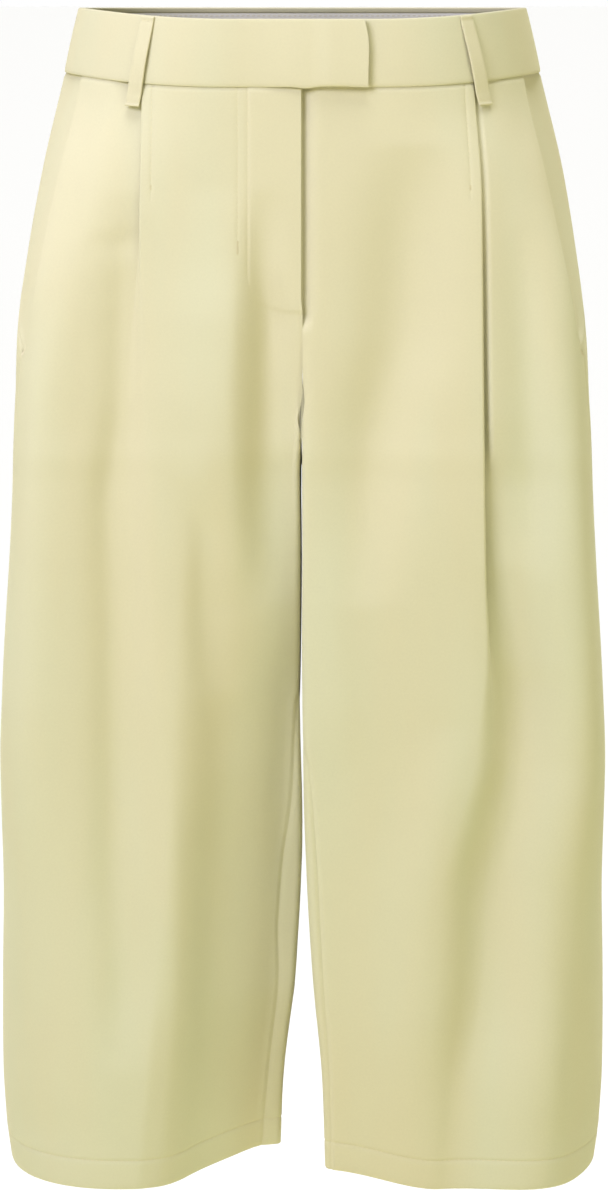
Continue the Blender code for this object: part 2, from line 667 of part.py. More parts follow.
def make_front(side, material):
    """One front panel, with its knife pleat."""
    outer_rows = []
    inner_rows = []
    for z, thick in hem_layers(PANEL_HEIGHTS):
        section = Section(z, side)
        fold = {name: profile(z) for name, profile in FOLD[side].items()}
        bend_outer, bend_inner = pleat_bends(fold)
        edge = section.front_x(PLEAT[side](z))
        start = front_start(side, z) + section.inseam()
        end = section.side_edge() - SEAM_GAP / 2
        begin = edge + bend_outer[0, 0]
        fly = section.near_front(FLY_COLUMNS)
        roll_from = max(start + 1.0, section.roll_start - 1.0)
        roll_middle = (section.roll_start + section.roll_end) / 2
        roll_middle = max(roll_from + 1.5, roll_middle)
        centre = [(start + roll_from) / 2, roll_from, roll_middle]
        rest = np.linspace(fly[-1], begin, INNER_COLUMNS + 1)[1:-1]
        s_inner = np.concatenate([[start], centre, fly, rest])
        flat_inner = fly_drop(side, z, s_inner)
        last, drop = bend_outer[-1]
        clear = max(2.0, last + 6.0)
        under = np.linspace(last, clear, UNDER_COLUMNS + 1)[1:]
        outside = np.linspace(0, 1, SIDE_COLUMNS_COUNT + 1)[1:] ** 1.2
        beyond = clear + (end - edge - clear) * outside
        s_side = np.concatenate([under, beyond])
        flat_side = drop * (1 - blend(s_side, clear, clear + fold["rise"]))
        s_outer = np.concatenate([s_inner, edge + bend_outer[:, 0], edge + s_side])
        o_outer = np.concatenate([flat_inner, bend_outer[:, 1], flat_side])
        s_in = np.concatenate([s_inner, edge + bend_inner[:, 0], edge + s_side])
        bend_depth = bend_inner[:, 1] - (thick - WALL)
        o_in = np.concatenate([flat_inner - thick, bend_depth, flat_side - thick])
        outer_rows.append(skin(side, section, s_outer, o_outer))
        inner_rows.append(skin(side, section, s_in, o_in))
    return wall_between("front_" + side, outer_rows, inner_rows, material)


def make_back(side, material):
    """One back panel, round to the centre back and the inseam."""
    outer_rows = []
    inner_rows = []
    for z, thick in hem_layers(PANEL_HEIGHTS):
        section = Section(z, side)
        start = section.outer_y(SIDE["seam_y"](z)) + SEAM_GAP / 2
        end = section.length
        if z <= CROTCH:
            end += section.inseam() - SEAM_GAP
        inner = section.near_back(BACK_INNER)
        outer = np.linspace(start, inner[0], BACK_OUTER_COLUMNS)[:-1]
        halfway = (inner[-1] + end) / 2
        roll_from = halfway
        if z <= CROTCH:
            roll_from = max(halfway, min(end - 6.0, section.length + section.roll_start))
        centre = [(inner[-1] + roll_from) / 2]
        rolled = np.linspace(roll_from, end, BACK_EDGE_COLUMNS)
        s = np.concatenate([outer, inner, centre, rolled])
        outer_rows.append(skin(side, section, s, np.zeros(len(s))))
        inner_rows.append(skin(side, section, s, np.full(len(s), -thick)))
    return wall_between("back_" + side, outer_rows, inner_rows, material)


def make_pocket_side(side, material):
    """The side piece that shows in the slanted pocket's mouth."""
    outer_rows = []
    inner_rows = []
    under = WALL + POCKET_GAP
    for z in [height for height in PANEL_HEIGHTS if height > POCKET_TACK]:
        section = Section(z, side)
        mouth = section.side_edge()
        seam = section.outer_y(SIDE["seam_y"](z)) - SEAM_GAP / 2
        s = np.concatenate([np.linspace(mouth - POCKET_UNDER, mouth, 3),
                            np.linspace(mouth, seam, 6)[1:]])
        out = -under * (1 - blend(s, mouth, mouth + POCKET_RISE))
        outer_rows.append(skin(side, section, s, out))
        inner_rows.append(skin(side, section, s, out - WALL))
    return wall_between("pocket_side_" + side, outer_rows, inner_rows, material)


SEAM_SECTION = Section(WAIST_SEAM, "left")
HALF_WAIST = SEAM_SECTION.length
SIDE_SEAM_S = SEAM_SECTION.outer_y(SIDE["seam_y"](WAIST_SEAM))


def waist_point(s, z, out):
    """Point near the waist: s runs along the waist seam, + to the wearer's left."""
    half = "left" if s >= 0 else "right"
    section = Section(z, half)
    share = abs(s) / HALF_WAIST
    return skin(half, section, share * section.length, np.array([out]))[0]


def band_section(s, out, wall, lip_wall, lower=0.0):
    """Closed outline of the waistband at s: a wall with a lip rolled inside."""
    top = WAIST_TOP
    corner = 0.5
    outline = ((out, WAIST_SEAM - lower), (out, top - corner), (out - corner, top),
               (out - lip_wall + corner, top), (out - lip_wall, top - corner),
               (out - lip_wall, top - BAND_LIP), (out - wall, top - BAND_LIP),
               (out - wall, WAIST_SEAM - lower))
    return [waist_point(s, z, o) for o, z in outline]


LIP_WALL = WALL + PLY_GAP + FACING_WALL


RIGHT_BAND = np.linspace(-SIDE_SEAM_S + SEAM_GAP / 2, -8.0, 13)
TAB = np.linspace(-8.0, TAB_REACH, 12)[1:]
LEFT_BAND = np.concatenate([np.linspace(-26.0, 10.0, 10),
                            np.linspace(16.0, SIDE_SEAM_S - SEAM_GAP / 2, 12)])
BACK_HALF = np.linspace(SIDE_SEAM_S + SEAM_GAP / 2, HALF_WAIST, 13)
BACK_BAND = np.concatenate([BACK_HALF, -BACK_HALF[-2::-1]])


def make_band_front_right(material):
    """Waistband of the right front, with the tab that laps past the centre."""
    loops = []
    raised = PLY_GAP + TAB_WALL + 0.2
    for s in np.concatenate([RIGHT_BAND, TAB]):
        lap = float(blend(s, -8.0, 2.0))
        lift = TAB_LIFT * float(blend(s, 4.0, 20.0))
        out = BAND_PROUD + raised * lap + lift
        wall = WALL + (TAB_WALL - WALL) * lap
        lip = LIP_WALL + (TAB_WALL + 0.2 - LIP_WALL) * lap
        loops.append(band_section(s, out, wall, lip, lower=0.8 * lap))
    return tube_along("waistband_front_right", loops, material)


def make_band_front_left(material):
    """Waistband of the left front; its end goes under the right one."""
    loops = []
    under = LIP_WALL + PLY_GAP
    for s in LEFT_BAND:
        lap = 1 - float(blend(s, 0.5, 8.0))
        out = BAND_PROUD - under * lap
        loops.append(band_section(s, out, WALL, LIP_WALL))
    return tube_along("waistband_front_left", loops, material)


def make_band_back(material):
    """Waistband of the back, in one piece from side seam to side seam."""
    loops = [band_section(s, BAND_PROUD, WALL, LIP_WALL) for s in BACK_BAND]
    return tube_along("waistband_back", loops, material)


def facing_section(s, drop):
    """Closed outline of the facing at s, inside the band under its lip."""
    out = BAND_PROUD - WALL - PLY_GAP - drop
    top = WAIST_TOP - BAND_LIP - SEAM_GAP
    outline = ((out, WAIST_SEAM), (out, top), (out - FACING_WALL, top),
               (out - FACING_WALL, WAIST_SEAM))
    return [waist_point(s, z, o) for o, z in outline]


def make_facings(material):
    """The facing inside the waistband: two fronts and one back."""
    right = [facing_section(s, 0.0) for s in RIGHT_BAND]
    tube_along("waistband_facing_right", right, material)
    left = []
    for s in LEFT_BAND:
        lap = 1 - float(blend(s, 0.5, 8.0))
        left.append(facing_section(s, (LIP_WALL + PLY_GAP) * lap))
    tube_along("waistband_facing_left", left, material)
    back = [facing_section(s, 0.0) for s in BACK_BAND]
    tube_along("waistband_facing_back", back, material)


def fly_point(x, z, out):
    """Point at the fly: x is the world X at the front, out from the outer face."""
    side = "right" if x < 0 else "left"
    section = Section(z, side)
    return skin(side, section, section.front_x(abs(x)), np.array([out]))[0]


def fly_foot(x):
    """Height of the fly's curved stitching at this distance from the centre."""
    share = min(max(x, 0.0) / FLY_WIDTH, 1.0)
    return FLY_END + FLY_CURVE * (1 - math.sqrt(1 - share ** 3))


def fly_layer(name, columns, heights, out, material):
    """Flat layer behind the fly: columns of X, and for each its own heights."""
    grids = [[[fly_point(x, z, face) for x, z in zip(columns, row)] for row in heights]
             for face in (out, out - WALL)]
    wall_between(name, grids[0], grids[1], material)


def make_fly(cloth, tape, metal):
    """Facing under the lap, zip, slider and the shield behind them."""
    rows = [z for z in PANEL_HEIGHTS if z > FLY_END]
    columns = [-CENTRE_X - x for x in (1.1,) + FLY_COLUMNS]
    feet = [fly_foot(-x) + 0.6 for x in columns]
    heights = [[z] * len(columns) for z in rows[:-1]]
    heights.append([max(rows[-1], (rows[-2] + foot) / 2) for foot in feet])
    heights.append(feet)
    facing_out = -WALL - PLY_GAP
    fly_layer("fly_facing", columns, heights, facing_out, cloth)

    tape_face = -(FLY_DROP + WALL + PLY_GAP)
    tape_back = tape_face - TAPE_WALL
    columns = (-30.0,) + TAPE_COLUMNS + (7.0, 10.0)
    heights = [[z] * len(columns) for z in rows]
    fly_layer("fly_shield", columns, heights, tape_back - PLY_GAP, cloth)

    chain_face = facing_out - FACING_WALL - PULL_ROOM
    low, high = TAPE_COLUMNS[3:5]
    outline = [(x, tape_back) for x in TAPE_COLUMNS]
    outline += [(x, tape_face) for x in TAPE_COLUMNS[:3:-1]]
    outline += [(high, chain_face), (low, chain_face)]
    outline += [(x, tape_face) for x in TAPE_COLUMNS[3::-1]]
    loops = [[fly_point(x, z, out) for x, out in outline]
             for z in [ZIP_TOP] + rows[2:-1] + [rows[-1] + 1.0]]
    tube_along("fly_zip", loops, tape)

    pull_face = facing_out - FACING_WALL - PLY_GAP
    pull_back = pull_face - PULL_WALL
    slider_loops = []
    for z, half_width, face, back in ((ZIP_TOP + 0.3 + 9.0, 2.6, pull_face, tape_back),
                                      (ZIP_TOP + 0.3, 3.4, pull_face, tape_back),
                                      (ZIP_TOP + 0.25, 2.0, pull_face, pull_back),
                                      (ZIP_TOP - 12.0, 2.0, pull_face, pull_back)):
        corners = ((-half_width, back), (half_width, back),
                   (half_width, face), (-half_width, face))
        slider_loops.append([fly_point(ZIP_X + x, z, out) for x, out in corners])
    tube_along("zip_slider", slider_loops, metal)


def make_loop(name, s_top, s_end, material):
    """Belt loop: a strip down over the band, arched, sewn at both ends."""
    loops = []
    top = WAIST_TOP - 0.4
    for share in np.linspace(0, 1, 9):
        z = top + (LOOP_END - top) * share
        rest = BAND_PROUD * float(blend(z, WAIST_SEAM - 6.0, WAIST_SEAM - 1.0))
        base = rest + PLY_GAP + LOOP_ARCH * math.sin(math.pi * share) ** 2
        s = s_top + (s_end - s_top) * share
        corners = ((s - LOOP_WIDTH / 2, base), (s + LOOP_WIDTH / 2, base),
                   (s + LOOP_WIDTH / 2, base + LOOP_WALL),
                   (s - LOOP_WIDTH / 2, base + LOOP_WALL))
        loops.append([waist_point(t, z, out) for t, out in corners])
    return tube_along(name, loops, material)


# Belt loops, by their distance along the waist from the centre front.
LOOP_ROWS = (
    ("belt_loop_front_right", -101.4, -102.6),
    ("belt_loop_front_left", 108.5, 111.5),
    ("belt_loop_back_right", -272.0, -270.0),
    ("belt_loop_back_left", 272.0, 270.0),
)


def make_centre_loop(material):
    """Belt loop at the centre back, across both halves."""
    loops = []
    top = WAIST_TOP - 0.4
    for share in np.linspace(0, 1, 9):
        z = top + (LOOP_END - top) * share
        rest = BAND_PROUD * float(blend(z, WAIST_SEAM - 6.0, WAIST_SEAM - 1.0))
        base = rest + PLY_GAP + LOOP_ARCH * math.sin(math.pi * share) ** 2
        edge = HALF_WAIST - LOOP_WIDTH / 2
        loops.append([waist_point(edge, z, base), waist_point(-edge, z, base),
                      waist_point(-edge, z, base + LOOP_WALL),
                      waist_point(edge, z, base + LOOP_WALL)])
    return tube_along("belt_loop_centre_back", loops, material)


# Hook and bar under the tab: from and to along the waist, half height, and the
# inner and outer faces above the left band.
HOOK_ROWS = (
    ("hook", 22.0, 31.5, 4.5, 1.1, 1.6),
    ("hook_bar", 24.0, 27.0, 5.5, 0.3, 0.8),
)


def make_hooks(metal):
    """Flat hook under the tab, and its bar on the left band."""
    middle = (WAIST_TOP + WAIST_SEAM) / 2 - 2.0
    for name, low, high, half, inner, outer in HOOK_ROWS:
        inner += BAND_PROUD
        outer += BAND_PROUD
        corners = ((low, inner), (high, inner), (high, outer), (low, outer))
        loops = [[waist_point(s, z, out) for s, out in corners]
                 for z in (middle + half, middle - half)]
        tube_along(name, loops, metal)


def new_material(name, colour, roughness, metallic=0.0):
    """Principled material of one colour."""
    material = bpy.data.materials.new(name)
    material.use_nodes = True
    shader = material.node_tree.nodes["Principled BSDF"]
    shader.inputs["Base Color"].default_value = (*colour, 1.0)
    shader.inputs["Roughness"].default_value = roughness
    shader.inputs["Metallic"].default_value = metallic
    return material


def main():
    """Empty the scene and make each piece."""
    for old in list(bpy.data.objects):
        bpy.data.objects.remove(old, do_unlink=True)
    for side in ("right", "left"):
        cloth = new_material("crepe_" + side, (0.80, 0.74, 0.45), 0.85)
        make_front(side, cloth)
        make_back(side, cloth)
        make_pocket_side(side, cloth)
    band_cloth = new_material("crepe_waistband", (0.81, 0.75, 0.47), 0.85)
    make_band_front_right(band_cloth)
    make_band_front_left(band_cloth)
    make_band_back(band_cloth)
    make_facings(new_material("facing_cloth", (0.52, 0.50, 0.40), 0.9))
    zip_tape = new_material("zip_tape", (0.76, 0.70, 0.46), 0.8)
    metal = new_material("zip_metal", (0.62, 0.60, 0.55), 0.35, 0.9)
    fly_cloth = new_material("crepe_fly", (0.80, 0.74, 0.45), 0.85)
    make_fly(fly_cloth, zip_tape, metal)
    make_hooks(metal)
    loop_cloth = new_material("crepe_loops", (0.81, 0.75, 0.47), 0.85)
    for name, s_top, s_end in LOOP_ROWS:
        make_loop(name, s_top, s_end, loop_cloth)
    make_centre_loop(loop_cloth)


main()
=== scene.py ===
"""Wide pleated culottes: finished cloth, sewing and fastenings, in a studio.

Every cloth piece is a finer shell on the form of the solid that it replaces, made
from the same named sizes. The front faces -Y, +X is the wearer's left, and the
origin is the waist. Sizes are in millimetres here and in metres in the meshes.
"""
import functools
import json
import math

import bmesh
import bpy
import numpy as np
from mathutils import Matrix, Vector


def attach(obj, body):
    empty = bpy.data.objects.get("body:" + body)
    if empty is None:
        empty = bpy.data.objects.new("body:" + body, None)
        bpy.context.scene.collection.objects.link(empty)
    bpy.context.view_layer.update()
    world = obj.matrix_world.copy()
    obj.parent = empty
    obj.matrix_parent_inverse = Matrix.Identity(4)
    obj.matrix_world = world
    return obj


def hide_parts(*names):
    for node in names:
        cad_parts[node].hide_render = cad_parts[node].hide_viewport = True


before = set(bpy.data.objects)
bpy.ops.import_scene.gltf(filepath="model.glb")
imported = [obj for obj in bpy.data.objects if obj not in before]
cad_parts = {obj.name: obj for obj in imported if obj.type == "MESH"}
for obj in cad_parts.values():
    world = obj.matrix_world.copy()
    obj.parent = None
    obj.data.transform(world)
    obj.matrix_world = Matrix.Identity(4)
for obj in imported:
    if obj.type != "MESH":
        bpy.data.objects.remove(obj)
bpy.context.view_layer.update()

MM = 0.001
SIDES = ("right", "left")

# ---------------------------------------------------------------- the garment
WALL = 1.0
SEAM_GAP = 0.04             # between the shells of pieces sewn to each other
PLY_GAP = 0.35

WAIST_TOP = 18.0
WAIST_SEAM = -22.0
PLEAT_TACK = -90.0
FLY_END = -166.0
SEAT_TOP = -140.0
CROTCH = -264.0
HEM = -716.0
HEM_TURN = 20.0

FRONT_DIP = 7.5
FRONT_DEPTH = 102.0         # where the dip is full, this far ahead of the middle
DIP_FADES = -110.0
HEM_RISE = 12.0             # the hems rise towards the inseams
RISE_REACH = (12.0, 88.0)   # from this far to this far from the centre
RISE_FADES = -560.0
BAND_PROUD = 0.5
BAND_LIP = 3.5
LIP_CLEAR = 0.3             # the facing begins this far under the lip
FACING_WALL = 1.0

CROTCH_Y = 12.0
CENTRE_X = -0.05
FRONT_CURVE = 4.5
BACK_CURVE = 1.75
FLY_REACH = -0.9            # the lap ends this far short of the centre
FLY_UNDER = 8.0
FLY_DROP = 4.0
FLY_WIDTH = 33.0
FLY_CURVE = 24.0
FLY_SECOND_ROW = 39.5       # a second row of stitches, beside the curved one
ZIP_TOP = -52.0
ZIP_X = -11.5               # middle of the chain of teeth
TAPE_WALL = 0.6
TAPE_COLUMNS = np.linspace(-24.0, 2.0, 13)

TAB_REACH = 40.0
TAB_WALL = 2.0
TAB_LIFT = 1.6
TAB_SWAY = 1.6              # the tab's end bulges by this much

LOOP_WIDTH = 9.5
LOOP_WALL = 1.4
LOOP_END = -36.0
LOOP_ARCH = 1.6

QUARTER_POINTS = 90
ROLL_POINTS = 24

BODY_COLUMNS = "z side_x side_y side_round front_y back_x back_y inner_x inner_y back_round"
BODY_ROWS = (
    (20, 139.5, 2, 2.1, -96.5, 34, 99, -0.05, 12, 1.0),
    (-22, 149.3, 2, 2.2, -102, 38, 105, -0.05, 12, 1.0),
    (-90, 164.8, 2, 3.4, -108, 46, 120, -0.05, 12, 1.0),
    (-150, 173.6, 2, 5.6, -112, 56, 129, -0.05, 12, 1.0),
    (-189, 176.6, 2, 7.6, -114.5, 64, 131, -0.05, 12, 1.05),
    (-214, 177.3, 2, 8.6, -116, 70, 131, -0.05, 12, 1.2),
    (-238, 178.6, 1, 9.0, -117, 76, 130, -0.05, 12, 1.55),
    (-256, 179.4, 0, 9.0, -118, 80, 129, -0.05, 12, 1.9),
    (-264, 179.7, 0, 9.0, -118, 82, 128.5, 0.2, 12, 2.3),
    (-286, 180.6, 0, 9.0, -118.5, 86, 128, 0.4, 8, 2.3),
    (-320, 182.6, 0, 8.6, -119, 90, 127, 0.5, 0, 2.3),
    (-400, 188.0, -2, 7.4, -119, 96, 124, 1.6, -12, 2.5),
    (-455, 190.7, -3, 5.6, -118, 99, 122, 4.0, -18, 2.7),
    (-520, 190.8, -4, 4.0, -117, 101, 120, 8.0, -20, 2.7),
    (-590, 192.3, -5, 3.1, -116, 102, 119, 12.5, -20, 2.6),
    (-655, 193.2, -6, 2.6, -113.5, 103, 118, 17.0, -20, 2.5),
    (-690, 191.8, -7, 2.4, -111.5, 103, 118, 19.0, -20, 2.4),
    (-716, 188.6, -8, 2.4, -110, 103, 117, 20.0, -20, 2.4),
)
BACK_SIDE_ROUND = 2.7

# The front of each half: its crest, and the inner edge that rolls back from it.
FRONT_COLUMNS = "z crest edge_x fall roll"
FRONT_ROWS = {
    "right": (
        (20, 42, -0.05, 0, 4.0),
        (-90, 47, -0.05, 0, 4.0),
        (-166, 51, -0.05, 0, 4.0),
        (-190, 53, -0.05, 0.3, 4.0),
        (-214, 56, -0.05, 1.2, 4.0),
        (-240, 60, 0.5, 4.5, 4.0),
        (-264, 66, 1.7, 10.0, 4.0),
        (-305, 72, 1.3, 17.0, 4.0),
        (-354, 77, 1.3, 25.0, 4.0),
        (-404, 80, 1.6, 37.0, 3.5),
        (-460, 82, 2.1, 47.0, 3.0),
        (-517, 86, 3.3, 54.0, 3.0),
        (-580, 92, 6.6, 57.0, 3.0),
        (-655, 100, 11.6, 61.0, 3.0),
        (-716, 106, 14.0, 62.0, 3.0),
    ),
    "left": (
        (20, 42, -0.05, 0, 4.0),
        (-90, 47, -0.05, 0, 4.0),
        (-166, 51, -0.05, 0, 4.0),
        (-214, 56, -0.05, 0.2, 4.0),
        (-240, 60, 0.0, 0.8, 4.0),
        (-264, 68, -0.1, 1.5, 4.0),
        (-320, 77, 0.0, 1.0, 4.0),
        (-360, 82, 0.0, 1.0, 4.5),
        (-404, 88, 0.2, 1.5, 5.0),
        (-460, 95, 0.6, 2.0, 6.0),
        (-517, 100, 2.5, 2.5, 6.5),
        (-580, 106, 6.1, 3.0, 7.0),
        (-655, 112, 12.0, 3.5, 7.0),
        (-716, 114, 14.0, 4.0, 7.0),
    ),
}
CREST_SOFT = 0.16           # share of the crest's width over which it rounds

SIDE_COLUMNS = "z mouth_x seam_y"
SIDE_ROWS = (
    (20, 133, -2),
    (-22, 136.5, -4),
    (-55, 142, -9),
    (-97, 151, -17),
    (-133, 158, -29),
    (-157, 162.5, -52),
    (-176, 166.5, -78),
    (-189.5, 169.8, -95.5),
    (-220, 171, -94),
    (-257, 173, -88),
    (-300, 174, -72),
    (-360, 174, -44),
    (-480, 174, -6),
    (-600, 174, 3),
    (-716, 174, 3),
)
POCKET_TACK = -190.0
POCKET_UNDER = 16.0
POCKET_GAP = 0.6
POCKET_FALL = {"right": 0.0, "left": 2.6}  # hollow of the side piece beside the mouth
POCKET_GAPE = 2.4           # the mouth's edge stands out by this much
GAPE_WIDTH = 13.0

# The inseam: its share of the way from the crotch line to the leg's front edge, and
# how far it then lies beyond that edge, on the front.
INSEAM_COLUMNS = "z share beyond"
INSEAM_ROWS = {
    "right": ((-264, 0.0, 0.0), (-340, 0.35, 0.0), (-385, 0.8, 0.0), (-400, 0.97, 0.6),
              (-410, 1.0, 2.0), (-432, 1.0, 3.6), (-470, 1.0, 5.6), (-523, 1.0, 9.8),
              (-552, 1.0, 10.2), (-588, 1.0, 8.4), (-621, 1.0, 7.8), (-667, 1.0, 7.6),
              (-716, 1.0, 7.6)),
    "left": ((-264, 0.0, 0.0), (-350, 0.35, 0.0), (-410, 0.8, 0.0), (-432, 0.97, 0.6),
             (-446, 1.0, 3.0), (-476, 1.0, 5.8), (-523, 1.0, 7.0), (-581, 1.0, 6.6),
             (-647, 1.0, 4.8), (-716, 1.0, 3.6)),
}

PLEAT_COLUMNS = "z right left"
PLEAT_ROWS = (
    (-22, 98, 105),
    (-90, 99, 108.5),
    (-222, 100, 110.5),
    (-325, 98, 112.5),
    (-400, 94, 116.5),
    (-440, 90, 117),
    (-480, 86, 108),
    (-520, 83, 100),
    (-580, 82, 97.5),
    (-650, 86, 89),
    (-716, 92, 85),
)

FOLD_COLUMNS = "z angle underlay outer_bend inner_bend rise"
FOLD_LEFT = (
    (WAIST_SEAM, 180, 17.0, 1.25, 0.3, 24),
    (PLEAT_TACK, 180, 15.0, 1.35, 0.5, 30),
    (-140, 178, 12.0, 1.5, 0.9, 40),
    (-222, 174, 9.5, 1.6, 1.2, 50),
    (-300, 164, 7.0, 1.7, 1.4, 56),
    (-350, 142, 4.0, 2.0, 1.8, 60),
    (-380, 104, 2.0, 3.4, 3.0, 60),
    (-405, 72, 2.0, 7.0, 7.0, 60),
    (-435, 52, 2.0, 13.0, 13.0, 58),
    (-475, 43, 2.0, 18.0, 18.0, 56),
    (-530, 38, 2.0, 24.0, 24.0, 56),
    (-590, 32, 2.0, 28.0, 28.0, 56),
    (-650, 20, 2.0, 36.0, 36.0, 54),
    (-716, 12, 2.0, 40.0, 40.0, 50),
)
FOLD_RIGHT = (
    (WAIST_SEAM, 180, 17.0, 1.25, 0.3, 24),
    (PLEAT_TACK, 180, 15.0, 1.25, 0.3, 30),
    (-112, 165, 4.5, 1.25, 0.3, 33),
    (-135, 92, 1.0, 1.6, 0.9, 36),
    (-160, 54, 1.0, 4.0, 3.6, 40),
    (-195, 31, 1.0, 12.0, 11.0, 46),
    (-235, 22, 1.0, 20.0, 19.0, 54),
    (-290, 17, 1.0, 28.0, 28.0, 56),
    (-370, 14, 1.0, 36.0, 36.0, 56),
    (-450, 13, 2.0, 42.0, 42.0, 54),
    (-560, 10, 2.0, 50.0, 45.0, 54),
    (-716, 7, 2.0, 50.0, 45.0, 50),
)

# Soft folds, valleys (-) and ridges (+), each a path down the cloth: height, distance
# from the centre, half width towards the centre and away from it, depth.
DRAPE_COLUMNS = "z x inner outer depth"
DRAPES = {
    "front_right": (
        # a step from the fly's stitches down the inner thigh: its hollow, its crest
        ((-90, 24, 11, 9, 0), (-133, 24, 10, 9, -4.4), (-176, 20.5, 13, 10, -9.6),
         (-219, 21, 20, 11, -10.2), (-261, 21, 20, 12, -8.0), (-305, 19, 15, 13, -4.6),
         (-345, 16, 14, 13, 0)),
        ((-90, 44, 12, 30, 0), (-133, 45, 12, 32, 3.2), (-176, 45, 12, 34, 6.8),
         (-219, 47, 13, 34, 6.8), (-261, 46, 14, 30, 5.4), (-305, 44, 14, 24, 3.0),
         (-345, 42, 14, 20, 0)),
        # the centre below the fly
        ((-160, -1, 6, 14, 0), (-190, -1, 6, 14, -0.9), (-219, -1, 6, 14, -1.2),
         (-245, -1, 6, 14, 0)),
        # across the thigh towards the inseam
        ((-400, 48, 20, 16, 0), (-440, 48, 20, 16, -4.0), (-517, 50, 22, 17, -7.0),
         (-600, 54, 22, 17, -7.0), (-680, 58, 22, 17, -6.0), (-716, 60, 20, 16, -5.0)),
        ((-265, 70, 12, 10, 0), (-305, 60, 13, 11, -3.8), (-354, 58, 14, 12, -4.2),
         (-404, 52, 16, 13, -3.0), (-450, 44, 16, 14, 0)),
        # long one beside the side
        ((-105, 106, 16, 12, 0), (-160, 108, 16, 12, -3.2), (-220, 110, 17, 12, -5.2),
         (-285, 117, 18, 12, -6.4), (-365, 115, 18, 13, -6.6), (-450, 115, 18, 13, -6.8),
         (-517, 116, 18, 13, -6.6), (-580, 112, 18, 13, -5.4), (-640, 114, 16, 12, 0)),
        # the rolled strip beside the inseam
        ((-385, 2, 3, 5, 0), (-430, 3, 2.4, 6, 3.0), (-517, 3.4, 2, 7.5, 8.4),
         (-580, 6.7, 2, 7.5, 8.6), (-655, 11.7, 2, 7.5, 8.4), (-716, 14, 2, 7, 7.4)),
        # the hem's inner corner, turned in
        ((-600, 6, 60, 55, 0), (-660, 6, 60, 55, -6), (-716, 6, 60, 55, -11)),
        # side edge of the front
        ((-60, 150, 14, 8, 0), (-200, 160, 20, 9, 2.0), (-330, 166, 22, 9, 2.6),
         (-450, 172, 20, 10, 2.4), (-600, 174, 16, 10, 0.8), (-716, 172, 14, 10, 0)),
    ),
    "front_left": (
        # broad one from the pleat's tack down towards the crotch
        ((-60, 66, 24, 24, 0), (-97, 64, 24, 24, -5.0), (-133, 62, 24, 24, -8.0),
         (-176, 60, 24, 24, -9.5), (-219, 50, 23, 24, -9.5), (-261, 43, 22, 24, -8.0),
         (-305, 40, 20, 22, -4.6), (-345, 38, 18, 20, 0)),
        # crest before the pleat
        ((-40, 108, 26, 14, 0), (-97, 108, 26, 14, 3.0), (-176, 109, 26, 14, 3.4),
         (-261, 111, 24, 14, 2.6), (-330, 112, 22, 14, 0)),
        # the centre below the fly
        ((-160, -1, 6, 5, 0), (-190, -1, 6, 5, -1.2), (-219, -1, 6, 5, -2.2),
         (-245, -1, 6, 5, -1.2), (-262, -1, 6, 5, 0)),
        # front of the inner thigh, full
        ((-300, 14, 11, 11, 0), (-345, 18, 13, 13, 1.6), (-400, 22, 14, 14, 1.6),
         (-450, 26, 14, 14, 0)),
        # below the pleat: the crest before it and the hollow behind it
        ((-420, 92, 20, 16, 0), (-470, 86, 22, 16, 3.4), (-530, 76, 24, 17, 4.2),
         (-600, 72, 24, 17, 4.0), (-660, 68, 22, 16, 2.0), (-716, 66, 20, 16, 0.8)),
        ((-320, 124, 15, 18, 0), (-354, 128, 15, 20, -3.6), (-404, 132, 15, 20, -6.6),
         (-470, 129, 16, 20, -5.2), (-530, 116, 16, 22, -4.2),
         (-600, 112, 16, 22, -4.0), (-660, 106, 16, 22, -2.0), (-716, 104, 16, 22, -1)),
        # beside the pleat, towards the side
        ((-110, 132, 12, 10, 0), (-170, 136, 13, 11, -3.0), (-219, 139, 13, 12, -4.6),
         (-265, 142, 13, 12, -4.6), (-330, 145, 13, 12, 0)),
        ((-500, 165, 10, 10, 0), (-590, 170, 11, 11, -3.0), (-660, 172, 11, 11, -3.4),
         (-716, 172, 11, 11, -1)),
        ((-110, 158, 18, 9, 0), (-200, 166, 24, 9, 2.4), (-330, 172, 26, 9, 3.6),
         (-450, 178, 26, 9, 3.2), (-540, 178, 24, 9, 0)),
        # the hem's outer corner, turned back
        ((-520, 164, 28, 18, 0), (-600, 164, 28, 18, 4), (-716, 162, 28, 18, 8)),
    ),
    "back_right": (
        ((-170, 44, 15, 15, 0), (-230, 50, 17, 17, -4.4), (-340, 57, 18, 18, -6.6),
         (-440, 56, 18, 18, -4), (-520, 52, 17, 17, 0)),
        ((-320, 121, 18, 18, 0), (-430, 116, 21, 21, -5.0), (-560, 112, 22, 22, -7.0),
         (-716, 118, 20, 20, -5)),
        ((-400, 73, 14, 14, 0), (-500, 77, 15, 15, 3.4), (-620, 80, 15, 15, 4.0),
         (-716, 84, 15, 15, 3.0)),
        ((-120, 104, 12, 12, 0), (-200, 112, 14, 14, -2.6), (-300, 124, 16, 16, -3.4),
         (-380, 134, 16, 16, 0)),
    ),
    "back_left": (
        ((-165, 42, 14, 14, 0), (-230, 46, 16, 16, -4.2), (-340, 56, 17, 17, -6.0),
         (-430, 60, 17, 17, -3.4), (-490, 62, 16, 16, 0)),
        ((-350, 117, 18, 18, 0), (-470, 122, 22, 22, -5.8), (-600, 118, 23, 23, -7.0),
         (-716, 112, 22, 22, -5)),
        ((-290, 88, 14, 14, 0), (-400, 86, 15, 15, 3.2), (-520, 80, 15, 15, 4.0),
         (-650, 76, 15, 15, 0)),
        ((-140, 118, 12, 12, 0), (-240, 128, 14, 14, -2.8), (-330, 136, 15, 15, -2.2),
         (-420, 140, 15, 15, 0)),
    ),
}


